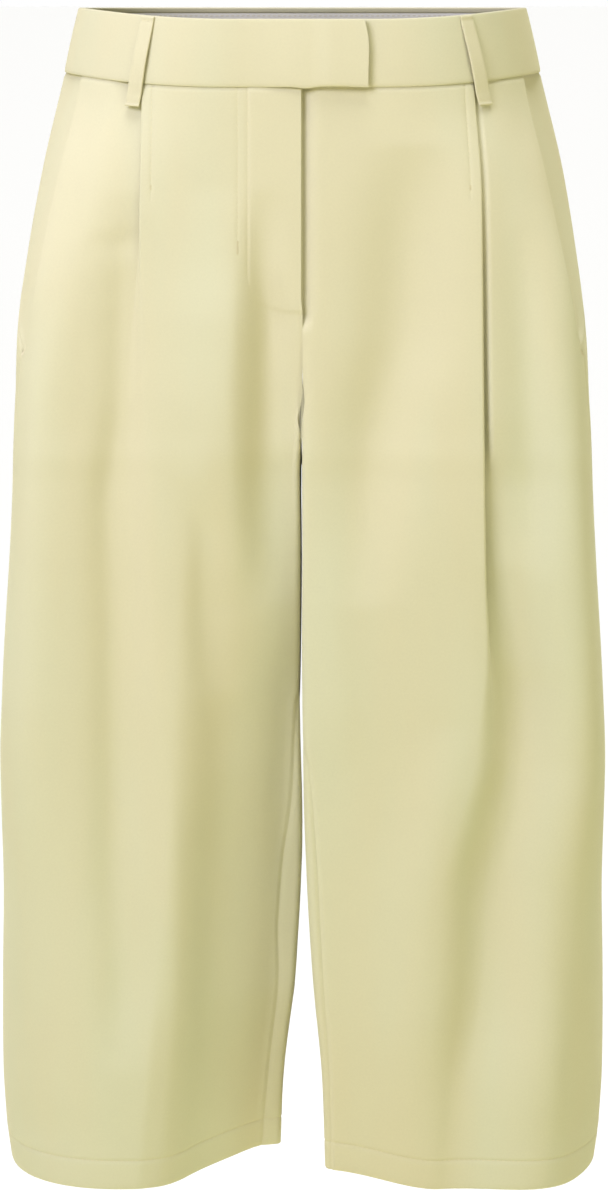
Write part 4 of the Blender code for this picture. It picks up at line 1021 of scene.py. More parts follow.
def make_front(side):
    """One front, with its knife pleat; gives the grid of its outer face."""
    outer_rows = []
    inner_rows = []
    for z, thick, inset in PANEL_ROWS:
        section = section_at(z, side)
        fold = {name: profile(z) for name, profile in FOLD[side].items()}
        bend_outer, bend_inner = pleat_bends(fold)
        edge = section.front_x(PLEAT[side](z))
        start = front_start(side, z) + section.inseam()
        end = section.side_edge() - SEAM_GAP / 2
        begin = edge + bend_outer[0, 0]
        widths = section.near_front(FRONT_WIDTHS)
        roll_from = max(start + START_CLEAR, section.roll_start - ROLL_LEAD)
        roll_to = max(roll_from + ROLL_LEAST, section.roll_end + ROLL_TAIL)
        first = edge_columns(start, roll_from)
        centre = np.linspace(first[-1], roll_from, WALL_COLUMNS + 1)[1:-1]
        rolled = np.linspace(roll_from, roll_to, ROLL_COLUMNS)
        stitches = begin - PLEAT_STITCH + STITCH_COLUMNS
        middle = np.linspace(widths[-1], stitches[0], INNER_COLUMNS + 1)[1:-1]
        before = np.linspace(stitches[-1], begin, 4)[1:-1]
        s_inner = np.concatenate([first, centre, rolled, widths, middle, stitches, before])
        pull = fly_drop(side, z, s_inner)
        last, drop = bend_outer[-1]
        clear = max(2.0, last + 6.0)
        under = np.linspace(last, clear, UNDER_COLUMNS + 1)[1:]
        reach = end - edge
        outside = edge_columns(reach, clear)[::-1]
        beyond = clear + (outside[0] - clear) * np.linspace(0, 1, OUTER_COLUMNS)[1:-1] ** OUTER_SPREAD
        s_side = np.concatenate([under, beyond, outside])
        groove = PLEAT_GROOVE[side] * float(blend(z, -275, -225))
        side_drop = drop * ((1 - groove) * (1 - blend(s_side, clear, clear + fold["rise"]))
                            + groove * (1 - blend(s_side, 0.0, GROOVE_WIDTH)))
        s_outer = np.concatenate([s_inner, edge + bend_outer[:, 0], edge + s_side])
        lift = np.concatenate([pull, bend_outer[:, 1], side_drop])
        relief = front_relief(side, section, s_outer, begin)
        below_fly = 0.45 + 0.55 * blend(-z, -CROTCH - 20, -CROTCH)
        below_fly *= 1 - blend(z, FLY_END - 4, FLY_END + 4)
        ahead = 1.0 if z <= CROTCH else (-section.outward(s_outer)[:, 1]).clip(0.0)
        relief -= SEAM_ROLL * below_fly * ahead * bell(s_outer - start, SEAM_SOFT)
        sewn_side = 1 - blend(z, POCKET_TACK - 6, POCKET_TACK + 2)
        gape = blend(z, POCKET_TACK, POCKET_TACK + 45) * (1 - blend(z, -75, -26))
        relief += POCKET_GAPE * gape * bell(end - s_outer, GAPE_WIDTH)
        relief -= SEAM_ROLL * sewn_side * bell(end - s_outer, SEAM_SOFT)
        relief -= STITCH_DIP * bell(z - HEM_STITCH, STITCH_SOFT)
        s_in = np.concatenate([s_inner, edge + bend_inner[:, 0], edge + s_side])
        lift_in = np.concatenate([pull - thick, bend_inner[:, 1] - (thick - WALL),
                                  side_drop - thick])
        outer_rows.append(skin(side, section, s_outer, lift + relief - inset))
        inner_rows.append(skin(side, section, s_in, lift_in + relief + inset))
    name = "front_" + side
    wall(name + "_cloth", outer_rows, inner_rows, CLOTH[side],
         [name], zero=WIDTHS_FROM + FRONT_GRAIN)
    return np.array(outer_rows)


def make_back(side):
    """One back, round to the inseam; gives the grid of its outer face."""
    outer_rows = []
    inner_rows = []
    for z, thick, inset in PANEL_ROWS:
        section = section_at(z, side)
        start = section.outer_y(SIDE["seam_y"](z)) + SEAM_GAP / 2
        end = section.length - CENTRE_X + SEAM_GAP / 2
        if z <= CROTCH:
            end = section.length + section.inseam() - SEAM_GAP
        widths = section.near_back(BACK_WIDTHS)
        first = edge_columns(start, widths[0])
        outside = np.linspace(first[-1], widths[0], BACK_OUTER_COLUMNS)[1:-1]
        tail = edge_columns(end, widths[-1])[::-1]
        roll_from = tail[0] - 3.0
        if z <= CROTCH:
            roll_from = min(roll_from, section.length + section.roll_start - ROLL_LEAD)
        roll_from = max(roll_from, (widths[-1] + tail[0]) / 2)
        centre = np.linspace(widths[-1], roll_from, BACK_WALL_COLUMNS)[1:-1]
        rolled = np.linspace(roll_from, tail[0], ROLL_COLUMNS)[:-1]
        s = np.concatenate([first, outside, widths, centre, rolled, tail])
        relief = np.full(len(s), float(waist_roll(z)))
        relief -= SEAM_ROLL * bell(s - start, SEAM_SOFT)
        behind = 1.0 if z <= CROTCH else section.outward(s)[:, 1].clip(0.0)
        relief -= SEAM_ROLL * behind * bell(end - s, SEAM_SOFT)
        relief -= STITCH_DIP * bell(z - HEM_STITCH, STITCH_SOFT)
        relief += dart_relief(section, s)
        outer_rows.append(skin(side, section, s, relief - inset))
        inner_rows.append(skin(side, section, s, relief - thick + inset))
    name = "back_" + side
    wall(name + "_cloth", outer_rows, inner_rows, CLOTH[side],
         [name], zero=BACK_GRAIN)
    return np.array(outer_rows)


# Back darts: a sewn line from the waist seam down, with a dimple under its end.
DART_X = 76.0
DART_LEAN = 0.06            # it leans outwards by this much of its length
DART_END = -118.0
DART_DEPTH = 0.75
DIMPLE_DEPTH = 0.9


def dart_relief(section, s):
    """Groove of the back dart."""
    z = section.z
    points = section.at(s)
    place = DART_X + DART_LEAN * (WAIST_SEAM - z)
    strength = blend(z, DART_END - 4, DART_END + 14)
    groove = -DART_DEPTH * bell(points[:, 0] - place, 0.9)
    dimple = -DIMPLE_DEPTH * bell(points[:, 0] - place, 12.0) * bell(z - DART_END, 16.0)
    return (groove * strength + dimple) * (points[:, 1] > 0)


def make_pocket_side(side):
    """The side piece that shows in the slanted pocket's mouth."""
    outer_rows = []
    inner_rows = []
    under = WALL + POCKET_GAP
    heights = [z for z, _, _ in PANEL_ROWS if z > POCKET_TACK]
    for z in heights:
        section = section_at(z, side)
        mouth = section.side_edge()
        seam = section.outer_y(SIDE["seam_y"](z)) - SEAM_GAP / 2
        tail = edge_columns(seam, mouth - 8.0)[::-1]
        s = np.concatenate([np.linspace(mouth - POCKET_UNDER, tail[0], POCKET_COLUMNS)[:-1], tail])
        out = -under * (1 - blend(s, mouth + 0.4 * (seam - mouth), seam))
        out -= POCKET_FALL[side] * (blend(s, mouth - 4, mouth + 14)
                                    * (1 - blend(s, min(mouth + 16, seam - 6), seam - 2)))
        out += waist_roll(z) - SEAM_ROLL * bell(seam - s, SEAM_SOFT)
        outer_rows.append(skin(side, section, s, out))
        inner_rows.append(skin(side, section, s, out - WALL))
    name = "pocket_side_" + side
    wall(name + "_cloth", outer_rows, inner_rows, CLOTH[side], [name])


# ------------------------------------------------------------------ waistband
SEAM_SECTION = section_at(WAIST_SEAM)
HALF_WAIST = SEAM_SECTION.length
SIDE_SEAM_S = SEAM_SECTION.outer_y(SIDE["seam_y"](WAIST_SEAM))
LIP_WALL = WALL + PLY_GAP + FACING_WALL


def waist_points(s, z, out):
    """Points near the waist: s runs along the waist seam, + to the wearer's left."""
    s = np.atleast_1d(np.asarray(s, float))
    out = np.broadcast_to(np.asarray(out, float), s.shape)
    section = section_at(float(z))
    share = np.abs(s) / HALF_WAIST * section.length
    points = np.empty((len(s), 3))
    for half, here in (("left", s >= 0), ("right", s < 0)):
        if here.any():
            points[here] = skin(half, section, share[here], out[here])
    return points


def closed_strip(name, loops, material, nodes, edge=0.0):
    """Solid through loops of points that run along a strip, with flat ends."""
    loops = np.array(loops)
    count, around = loops.shape[:2]
    faces = []
    for i in range(count - 1):
        for j in range(around):
            k = (j + 1) % around
            faces.append((i * around + j, i * around + k,
                          (i + 1) * around + k, (i + 1) * around + j))
    faces.append(tuple(range(around))[::-1])
    faces.append(tuple((count - 1) * around + j for j in range(around)))
    along = along_line(loops.mean(axis=1))
    steps = np.linalg.norm(np.diff(loops, axis=1), axis=2)
    round_it = np.concatenate([np.zeros((count, 1)), np.cumsum(steps, axis=1)], axis=1)
    uv = np.stack([np.broadcast_to(along[:, None], round_it.shape), round_it], axis=2)
    return finish_mesh(name, loops.reshape(-1, 3), faces, material, nodes,
                       uv.reshape(-1, 2), edge)


BAND_ROUND = 1.0            # radius of its top edges
BAND_SEAM_DIP = 0.6
BAND_PUFF = 0.35            # its face stands out by this much halfway up
BAND_CUT_LINES = 26         # lines of points on its face, top and lip


def band_face():
    """(height, offset) up the band's outer face and over the rounded edge."""
    face = [(WAIST_SEAM + rise, -BAND_SEAM_DIP * share) for rise, share in
            ((0.0, 1.0), (0.35, 0.62), (0.9, 0.3), (1.8, 0.1), (3.2, 0.0))]
    face += [(WAIST_SEAM + rise, 0.0) for rise in np.linspace(6, 36, 9)]
    face += [(WAIST_TOP - BAND_ROUND * (1 - math.sin(turn)),
              -BAND_ROUND * (1 - math.cos(turn)))
             for turn in np.linspace(0, math.pi / 2, 6)]
    return face


def band_lines(out, wall_thick, lip):
    """(height, offset) of each line of points round the band's cloth.

    It runs up the outer face, over the top and down the lip inside, then back up
    behind the lip and down the inner face. An offset may change along the band.
    """
    lines = []
    for z, dip in band_face():
        puff = BAND_PUFF * math.sin(math.pi * (z - WAIST_SEAM) / (WAIST_TOP - WAIST_SEAM))
        lines.append((z, out + dip + max(puff, 0.0)))
    for turn in np.linspace(math.pi / 2, math.pi, 5)[1:]:
        lines.append((WAIST_TOP - BAND_ROUND * (1 - math.sin(turn)),
                      out - lip + BAND_ROUND * (1 + math.cos(turn))))
    lip_end = WAIST_TOP - BAND_LIP
    lines += [(WAIST_TOP - 2.2, out - lip), (lip_end + 0.3, out - lip),
              (lip_end, out - lip + 0.3), (lip_end, out - wall_thick)]
    for z in np.linspace(lip_end - 3, WAIST_SEAM, 6):
        lines.append((z, out - wall_thick - (0.5 if z == WAIST_SEAM else 0.0)))
    return lines


def sway(stations, z):
    """How far the tab's end bulges along the waist at this height."""
    share = (z - WAIST_SEAM) / (WAIST_TOP - WAIST_SEAM)
    bulge = math.sin(math.pi * share) - 0.35 * math.sin(2 * math.pi * share)
    return TAB_SWAY * bulge * blend(stations, TAB_REACH - 14, TAB_REACH)


def make_band(name, stations, out, wall_thick, lip, lower=0.0):
    """One piece of the waistband, declared as a sheet."""
    strips = []
    for z, offset in band_lines(out, wall_thick, lip):
        moved = stations + (sway(stations, z) if name.endswith("front_right") else 0.0)
        points = waist_points(moved, z, offset)
        foot = np.clip((WAIST_TOP - z) / (WAIST_TOP - WAIST_SEAM), 0, 1) ** 3
        points[:, 2] -= lower * foot
        strips.append(points)
    piece = closed_strip(name + "_cloth", np.array(strips).transpose(1, 0, 2), BAND_CLOTH,
                         [name], edge=0.25)
    declare_sheet(piece, np.array(strips[:BAND_CUT_LINES]))


RIGHT_BAND = np.linspace(-SIDE_SEAM_S + SEAM_GAP / 2, -8.0, 100)
TAB = np.linspace(-8.0, TAB_REACH, 46)[1:]
LEFT_BAND = np.concatenate([np.linspace(-26.0, 10.0, 36),
                            np.linspace(11.5, SIDE_SEAM_S - SEAM_GAP / 2, 90)])
LEFT_LAP = 1 - blend(LEFT_BAND, 0.5, 8.0)       # where it lies under the right band
BACK_HALF = np.linspace(SIDE_SEAM_S + SEAM_GAP / 2, HALF_WAIST, 90)
BACK_BAND = np.concatenate([BACK_HALF, -BACK_HALF[-2::-1]])


def tab_shape(s):
    """Outer face, wall, lip and lowering of the right band along its tab."""
    lap = blend(s, -8.0, 2.0)
    lift = TAB_LIFT * blend(s, 4.0, 20.0)
    out = BAND_PROUD + (PLY_GAP + TAB_WALL + 0.2) * blend(s, -34.0, 8.0) + lift
    arch = 1.4 * blend(s, 2.0, 14.0) * (1 - 0.5 * blend(s, 22.0, TAB_REACH))
    return (out, WALL + (TAB_WALL - WALL) * lap,
            LIP_WALL + (TAB_WALL + 0.2 - LIP_WALL) * lap, 0.8 * lap - arch)


def make_waistband():
    """The three pieces of the waistband."""
    right = np.concatenate([RIGHT_BAND, TAB])
    make_band("waistband_front_right", right, *tab_shape(right))
    make_band("waistband_front_left", LEFT_BAND,
              BAND_PROUD - (LIP_WALL + PLY_GAP) * LEFT_LAP, WALL, LIP_WALL)
    make_band("waistband_back", BACK_BAND, BAND_PROUD, WALL, LIP_WALL)


def make_facing(part, stations, drop=0.0):
    """One piece of the grey facing inside the band, under its lip."""
    name = "waistband_facing_" + part
    top = WAIST_TOP - BAND_LIP - LIP_CLEAR
    outer = BAND_PROUD - WALL - PLY_GAP - drop
    heights = [top, top - 0.5] + list(np.linspace(top - 2, WAIST_SEAM, 9))
    outer_rows = [waist_points(stations, z, outer) for z in heights]
    inner_rows = [waist_points(stations, z, outer - FACING_WALL) for z in heights]
    wall(name + "_cloth", outer_rows, inner_rows, FACING_CLOTH, [name])


def make_facings():
    """The facing inside the waistband: two fronts and one back."""
    make_facing("right", RIGHT_BAND)
    make_facing("left", LEFT_BAND, (LIP_WALL + PLY_GAP) * LEFT_LAP)
    make_facing("back", BACK_BAND)


# ------------------------------------------------------------------------ fly
def fly_points(x, z, out):
    """Points at the fly: x is the world X at the front."""
    side = "right" if x < 0 else "left"
    section = section_at(float(z), side)
    s = section.front_x(abs(x))
    return skin(side, section, np.array([s]), np.array([out]))[0]


def fly_layer(name, columns, rows, out):
    """Flat layer behind the fly."""
    grids = [[[fly_points(x, z, face) for x, z in zip(columns, row)] for row in rows]
             for face in (out, out - WALL)]
    wall(name + "_cloth", grids[0], grids[1], FLY_CLOTH, [name])


def make_fly():
    """Facing under the lap and the shield behind the zip."""
    top = WAIST_SEAM - 0.3
    columns = -CENTRE_X - 0.1 - np.linspace(0, FLY_WIDTH, 18)
    feet = [fly_foot(-x) + 0.6 for x in columns]
    rows = [[top + (foot - top) * share for foot in feet]
            for share in np.linspace(0, 1, 40)]
    fly_layer("fly_facing", columns, rows, -WALL - PLY_GAP)
    tape_back = -(FLY_DROP + WALL + PLY_GAP) - TAPE_WALL
    columns = np.linspace(-30.0, 10.0, 22)
    rows = [[z] * len(columns) for z in np.linspace(top, FLY_END + 10, 40)]
    fly_layer("fly_shield", columns, rows, tape_back - PLY_GAP)


# ---------------------------------------------------------------- belt loops
LOOP_ROWS = (
    ("belt_loop_front_right", -101.4, -102.6),
    ("belt_loop_front_left", 108.5, 111.5),
    ("belt_loop_back_right", -272.0, -270.0),
    ("belt_loop_back_left", 272.0, 270.0),
    ("belt_loop_centre_back", HALF_WAIST, HALF_WAIST),
)
LOOP_TOP = WAIST_TOP - 0.4
LOOP_TACKS = (WAIST_TOP - 3.2, LOOP_END + 2.4)      # heights of the sewn rows


def wrapped(s):
    """Distance along the waist, past the centre back on to the other half."""
    s = np.asarray(s, float)
    return np.where(s > HALF_WAIST, s - 2 * HALF_WAIST, s)


def loop_face(s_top, s_end, z):
    """Middle, half width and height above the band of a belt loop at height z."""
    share = (LOOP_TOP - z) / (LOOP_TOP - LOOP_END)
    rest = BAND_PROUD * float(blend(z, WAIST_SEAM - 6.0, WAIST_SEAM - 1.0))
    tacks = sum(float(bell(z - tack, 1.3)) for tack in LOOP_TACKS)
    base = rest + PLY_GAP + LOOP_ARCH * math.sin(math.pi * min(max(share, 0), 1)) ** 2
    half = LOOP_WIDTH / 2 - 0.15 * tacks
    return s_top + (s_end - s_top) * share, half, base, LOOP_WALL - 0.35 * tacks


# Cross-section of a belt loop: share of its half width, share of its thickness.
LOOP_UNDERSIDE = ((-1.0, 0.35), (-0.97, 0.1), (-0.9, 0.0), (-0.5, 0.0), (0.0, 0.0),
                  (0.5, 0.0), (0.9, 0.0), (0.97, 0.1))
LOOP_FACE = ((1.0, 0.35), (1.0, 0.7), (0.965, 0.92), (0.9, 1.0), (0.55, 0.97), (0.0, 0.95),
             (-0.55, 0.97), (-0.9, 1.0), (-0.965, 0.92), (-1.0, 0.7))
# Heights are close together at the folded ends and at the sewn rows.
LOOP_TOP_STEPS = (0.0, 0.3, 0.8, 1.5, 2.2, 2.8, 3.4, 4.2)
LOOP_END_STEPS = (4.2, 3.4, 2.9, 2.4, 1.9, 1.3, 0.7, 0.3, 0.0)


def make_loop(name, s_top, s_end):
    """Belt loop: a folded strip down over the band, sewn at both ends."""
    heights = [LOOP_TOP - step for step in LOOP_TOP_STEPS]
    heights += list(np.linspace(LOOP_TOP - 6, LOOP_END + 6, 16))
    heights += [LOOP_END + step for step in LOOP_END_STEPS]
    loops = []
    for z in heights:
        middle, half, base, thick = loop_face(s_top, s_end, z)
        nearest = min(LOOP_TOP - z, z - LOOP_END)
        tip = 0.45 * thick * (1 - min(nearest / 0.7, 1.0)) ** 2
        outline = LOOP_UNDERSIDE + LOOP_FACE
        s = wrapped([middle + half * across for across, _ in outline])
        out = [base + tip + (thick - 2 * tip) * up for _, up in outline]
        loops.append(waist_points(s, z, out))
    piece = closed_strip(name + "_cloth", loops, LOOP_CLOTH, [name])
    declare_sheet(piece, np.array(loops)[:, len(LOOP_UNDERSIDE):])


# --------------------------------------------------------------------- sewing
STITCH_PITCH = 3.1
STITCH_LENGTH = 2.35
STITCH_WIDTH = 0.42
STITCH_HEIGHT = 0.20
STITCH_START = 0.4          # a row begins this far along its line
UNDERSTITCH_DROP = 1.9      # this far under the band's lip
TACK_PITCH = 0.55
TACK_WIDTH = 0.5
TACK_HEIGHT = 0.28


def lay_stitch(start, end, normal, width, height):
    """Vertices of one stitch: pointed ends in the cloth, a rounded back."""
    run = end - start
    across = np.cross(normal, run)
    across *= width / 2 / max(np.linalg.norm(across), 1e-9)
    sunk = -0.12 * normal
    up = height * normal
    a = start + run * 0.22
    b = start + run * 0.78
    return [start + sunk, end + sunk, a - across, b - across, a + across, b + across,
            a + up, b + up]


STITCH_FACES = ((0, 2, 6), (0, 6, 4), (2, 3, 7, 6), (6, 7, 5, 4), (3, 1, 7), (7, 1, 5),
                (0, 4, 5, 1, 3, 2))


def line_at(values, along, distance):
    """The line's points or normals at this distance along it."""
    return np.array([np.interp(distance, along, values[:, i]) for i in range(3)])


def stitch_piece(name, stitches, width, height):
    """One piece of many stitches, each given by its ends and normal."""
    vertices = []
    faces = []
    for start, end, normal in stitches:
        first = len(vertices)
        vertices.extend(lay_stitch(start, end, normal, width, height))
        faces.extend([tuple(first + i for i in face) for face in STITCH_FACES])
    return finish_mesh(name, vertices, faces, SEWING)


def sew(name, lines, pitch=STITCH_PITCH, length=STITCH_LENGTH,
        width=STITCH_WIDTH):
    """Rows of stitches, as one piece, along lines of (points, normals)."""
    stitches = []
    for points, normals in lines:
        points = np.asarray(points, float)
        normals = np.asarray(normals, float)
        along = along_line(points)
        for place in np.arange(STITCH_START, along[-1] - length, pitch):
            normal = line_at(normals, along, place + length / 2)
            normal /= np.linalg.norm(normal)
            stitches.append((line_at(points, along, place),
                             line_at(points, along, place + length), normal))
    return stitch_piece(name, stitches, width, STITCH_HEIGHT)


def bar_tack(points, normals, half_width=0.9):
    """Lines across a short path: the dense stitches of a bar tack."""
    points = np.asarray(points, float)
    normals = np.asarray(normals, float)
    along = along_line(points)
    lines = []
    for place in np.arange(0.0, along[-1], TACK_PITCH):
        middle = line_at(points, along, place)
        normal = line_at(normals, along, place)
        across = np.cross(normal, points[-1] - points[0])
        across *= half_width / np.linalg.norm(across)
        lean = (points[-1] - points[0]) / along[-1] * TACK_PITCH / 2
        lines.append((middle - across - lean, middle + across + lean, normal))
    return lines


def tacks(name, bars, slot):
    """Bar tacks, as one piece, from lists of lines across them."""
    return stitch_piece(name, [line for bar in bars for line in bar],
                        TACK_WIDTH, TACK_HEIGHT)


def grid_normals(grid):
    """Unit normals of a grid of points."""
    across = np.gradient(grid, axis=1)
    down = np.gradient(grid, axis=0)
    normals = np.cross(down, across)
    return normals / np.linalg.norm(normals, axis=2)[..., None]


def outward_line(points, normals):
    """The line with its normals turned away from the middle of the leg."""
    middle = points.mean(axis=0)
    facing = ((points - middle) * normals).sum()
    return points, normals if facing > 0 else -normals


def level_normal(side, section, s):
    """World normal of the cloth at distance s, taken level."""
    flat = section.outward(s)[0]
    return -flat[0] if side == "right" else flat[0], flat[1], 0.0


def front_line(side, xs, zs):
    """Line on a front through world places, with its normals."""
    points = []
    normals = []
    for x, z in zip(xs, zs):
        section = section_at(float(z), side)
        s = np.array([section.front_x(x)])
        here = front_relief(side, section, s, NO_PLEAT)
        points.append(skin(side, section, s, here)[0])
        normals.append(level_normal(side, section, s))
    return np.array(points), np.array(normals)


def sew_hem(side, front_grid, back_grid):
    """The row of stitches round one hem."""
    lines = []
    for grid in (front_grid, back_grid):
        rows = slice(HEM_ROW - 1, HEM_ROW + 2)
        normals = grid_normals(grid[rows])[1]
        lines.append(outward_line(grid[HEM_ROW], normals))
    whole = np.concatenate([line[0] for line in lines]).mean(axis=0)
    turned = []
    for points, normals in lines:
        sign = 1 if ((points - whole) * normals).sum() > 0 else -1
        turned.append((points, normals * sign))
    sew("hem_stitches_" + side, turned)


def sew_fly():
    """The fly's curved row, the short second row and its bar tack."""
    straight = np.arange(WAIST_SEAM - 2, FLY_END + FLY_CURVE, -2.0)
    turn = np.linspace(0, math.pi / 2, 16)
    widths = FLY_WIDTH * np.cos(turn) ** 0.75
    xs = np.concatenate([np.full(len(straight), FLY_WIDTH), widths[:-1], [1.5]])
    zs = np.concatenate([straight, [fly_foot(x) for x in widths[:-1]], [FLY_END]])
    second = np.arange(WAIST_SEAM - 6, -122.0, -2.0)
    lines = [front_line("right", xs, zs),
             front_line("right", np.full(len(second), FLY_SECOND_ROW), second)]
    sew("fly_stitches", lines)
    tack = front_line("right", [FLY_SECOND_ROW] * 3, [-122, -126, -130])
    tacks("fly_tack", [bar_tack(*tack)], "crepe_right")


def sew_pleats(grids):
    """The row of stitches beside each pleat's edge, and the tack at its end."""
    lines = []
    bars = []
    column = (WIDTHS_FROM + len(FRONT_WIDTHS) + INNER_COLUMNS - 1
              + len(STITCH_COLUMNS) // 2)
    heights = np.array([z for z, _, _ in PANEL_ROWS])
    for side in SIDES:
        grid = grids[side]
        rows = np.where(heights > PLEAT_TACK)[0]
        normals = grid_normals(grid[:, column - 2:column + 3])[:, 2]
        normals *= -1 if normals[rows[0], 1] > 0 else 1
        lines.append((grid[rows[1:], column], normals[rows[1:]]))
        end = np.where((heights > PLEAT_TACK - 3) & (heights < PLEAT_TACK + 6))[0]
        bars.append(bar_tack(grid[end, column], normals[end], 0.8))
    sew("pleat_stitches", lines)
    tacks("pleat_tacks", bars, "crepe_left")


def sew_loops():
    """Two sewn rows across each belt loop."""
    lines = []
    for _, s_top, s_end in LOOP_ROWS:
        for z in LOOP_TACKS:
            middle, half, base, thick = loop_face(s_top, s_end, z)
            s = wrapped(middle + np.linspace(-half + 0.4, half - 0.4, 7))
            points = waist_points(s, z, base + thick * 0.97)
            ahead = waist_points(s, z, base + thick + 1.0)
            lines.append((points, ahead - points))
    sew("loop_stitches", lines, pitch=1.9, length=1.55, width=0.4)


def sew_understitching():
    """The row that holds the facing under the band's lip."""
    z = WAIST_TOP - BAND_LIP - UNDERSTITCH_DROP
    inside = BAND_PROUD - WALL - PLY_GAP - FACING_WALL
    stations = np.linspace(12, HALF_WAIST - 0.1, 220)
    lines = []
    for s in (stations, -stations):
        points = waist_points(s, z, inside)
        lines.append((points, waist_points(s, z, inside - 1.0) - points))
    sew("facing_stitches", lines, pitch=3.4, length=2.6)


def sew_pocket_tacks():
    """Bar tacks at the lower end of each pocket mouth."""
    bars = []
    for side in SIDES:
        points = []
        normals = []
        for z in (POCKET_TACK + 5, POCKET_TACK + 1, POCKET_TACK - 3):
            section = section_at(z, side)
            s = np.array([section.side_edge() - 1.2])
            points.append(skin(side, section, s, np.array([-0.2]))[0])
            normals.append(level_normal(side, section, s))
        bars.append(bar_tack(points, normals, 1.1))
    tacks("pocket_tacks", bars, "crepe_right")


# ----------------------------------------------------------------- fastenings
TOOTH_PITCH = 1.25
TOOTH_LEAN = 0.8            # teeth stand this far to either side by turns
TOOTH_HALF_WIDTH = 1.1
TOOTH_HALF_HEIGHT = 0.42
TOOTH_PROUD = 1.0
TOOTH_FACES = ((0, 1, 3, 2), (4, 6, 7, 5), (0, 4, 5, 1), (2, 3, 7, 6), (0, 2, 6, 4),
               (1, 5, 7, 3))


def make_zip():
    """Zip tape with its chain of teeth."""
    tape_face = -(FLY_DROP + WALL + PLY_GAP)
    heights = np.linspace(ZIP_TOP, FLY_END + 12, 30)
    outer, inner = [[[fly_points(x, z, face) for x in TAPE_COLUMNS] for z in heights]
                    for face in (tape_face, tape_face - TAPE_WALL)]
    wall("zip_tape_cloth", outer, inner, TAPE, ["fly_zip"], edge=0.0)
    vertices = []
    faces = []
    for i, z in enumerate(np.arange(ZIP_TOP - 1, FLY_END + 13, -TOOTH_PITCH)):
        middle = ZIP_X + (-TOOTH_LEAN if i % 2 else TOOTH_LEAN)
        first = len(vertices)
        vertices.extend(fly_points(x, z + rise, tape_face + out)
                        for out in (0.0, TOOTH_PROUD)
                        for rise in (-TOOTH_HALF_HEIGHT, TOOTH_HALF_HEIGHT)
                        for x in (middle - TOOTH_HALF_WIDTH, middle + TOOTH_HALF_WIDTH))
        faces.extend([tuple(first + k for k in face) for face in TOOTH_FACES])
    finish_mesh("zip_teeth", vertices, faces, TAPE)


# ---------------------------------------------------------------------- build
def build():
    """All the pieces of the garment."""
    front_grids = {}
    for side in SIDES:
        front_grids[side] = make_front(side)
        back_grid = make_back(side)
        make_pocket_side(side)
        sew_hem(side, front_grids[side], back_grid)
    make_waistband()
    make_facings()
    make_fly()
    make_zip()
    for name, s_top, s_end in LOOP_ROWS:
        make_loop(name, s_top, s_end)
    sew_fly()
    sew_pleats(front_grids)
    sew_loops()
    sew_understitching()
    sew_pocket_tacks()
    for name in ("zip_slider", "hook", "hook_bar"):
        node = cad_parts[name]
        node.data.materials.clear()
        node.data.materials.append(SATIN_METAL)


# --------------------------------------------------------------------- studio
FLOOR_SIZE = 4000.0         # metres: it reaches the horizon
FLOOR_Z = -1.03             # the wearer's waist is this high, in metres
ROOM_LIGHT = 0.26
FLOOR_SEEN = (0.945, 0.95, 1.0)       # as the camera sees it
FLOOR_CAST = (0.94, 0.912, 0.60)      # as it throws light back on the cloth
ROOM_CAST = (1.0, 0.97, 0.72)
LIGHTS_AIM = (0, 0, -0.3)
HORIZON_WHITE = 1.0
HORIZON_BAND = (0.01, 0.06)
CAMERA_PLACE = (0.00096, -2.6, 0.020)
CAMERA_DOWN = 8.27          # degrees below level
CAMERA_LENS = 122.94        # mm, for 36 mm along the picture's long side


def seen_or_cast(tree, seen, cast):
    """Colour that is plain to look at and warmer in the light it throws back."""
    path = add_node(tree, "LightPath")
    return mix_colours(tree, path.outputs["Is Camera Ray"], (*cast, 1), (*seen, 1))


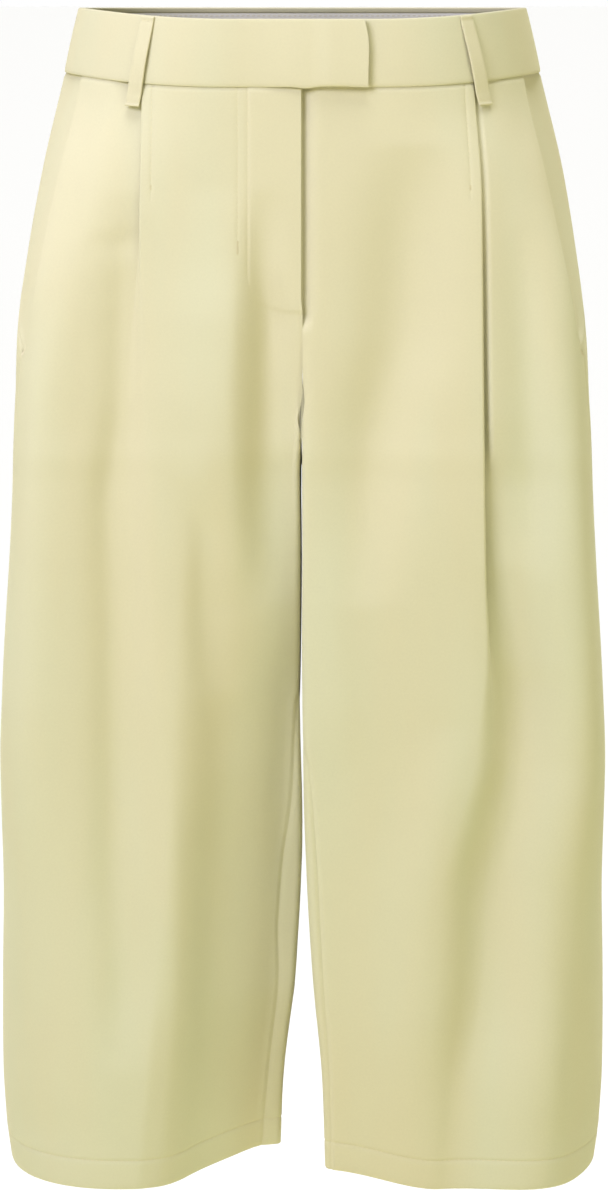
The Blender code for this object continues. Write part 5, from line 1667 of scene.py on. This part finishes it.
def make_floor():
    """Plain pale floor."""
    bpy.ops.object.select_all(action="DESELECT")
    bpy.ops.mesh.primitive_plane_add(size=FLOOR_SIZE, location=(0, 0, FLOOR_Z))
    floor = bpy.context.object
    floor.name = "studio_floor"
    material, tree, shader = new_material("studio_floor", {"Roughness": 0.95})
    tree.links.new(seen_or_cast(tree, FLOOR_SEEN, FLOOR_CAST), shader.inputs["Base Color"])
    floor.data.materials.append(material)


def add_light(name, kind, towards, place=(0, 0, 0), **settings):
    """Light at a place that shines towards a direction."""
    data = bpy.data.lights.new(name, kind)
    for setting, value in settings.items():
        setattr(data, setting, value)
    light = bpy.data.objects.new(name, data)
    light.location = place
    light.rotation_mode = "QUATERNION"
    light.rotation_quaternion = Vector(towards).to_track_quat("-Z", "Y")
    bpy.context.scene.collection.objects.link(light)


def add_soft_box(name, place, size, power, colour):
    """Square soft box that points at the garment's middle."""
    add_light(name, "AREA", Vector(LIGHTS_AIM) - Vector(place), place, size=size,
              energy=power, color=colour)


def light_room(tree):
    """Even pale room that is white where it meets the floor."""
    place = add_node(tree, "TexCoord").outputs["Generated"]
    background = tree.nodes["Background"]
    strength = remap(tree, split_axes(tree, place)["Z"], *HORIZON_BAND, HORIZON_WHITE,
                     ROOM_LIGHT)
    tree.links.new(seen_or_cast(tree, (1, 1, 1), ROOM_CAST), background.inputs["Color"])
    tree.links.new(strength, background.inputs["Strength"])


def make_studio():
    """Floor, camera and soft light, strongest from the viewer's left."""
    scene = bpy.context.scene
    make_floor()
    data = bpy.data.cameras.new("studio_camera")
    data.sensor_width = 36.0
    data.lens = CAMERA_LENS
    data.clip_start = 0.05
    data.clip_end = FLOOR_SIZE
    camera = bpy.data.objects.new("studio_camera", data)
    camera.location = CAMERA_PLACE
    camera.rotation_euler = (math.radians(90 - CAMERA_DOWN), 0, 0)
    scene.collection.objects.link(camera)
    scene.camera = camera
    add_light("overhead_light", "SUN", (0.0, 0.1, -1.0), angle=math.radians(30),
              energy=2.6)
    add_soft_box("key_light", (-1.05, -1.25, 0.85), 0.9, 22.3, (1.0, 0.99, 1.3))
    add_soft_box("fill_light", (1.5, -1.5, 0.2), 1.2, 5.0, (1.0, 0.99, 0.75))
    scene.world = bpy.data.worlds.new("studio_world")
    scene.world.use_nodes = True
    light_room(scene.world.node_tree)
    scene.view_settings.view_transform = "Standard"


build()
make_studio()
print("CUTS", json.dumps(CUTS))
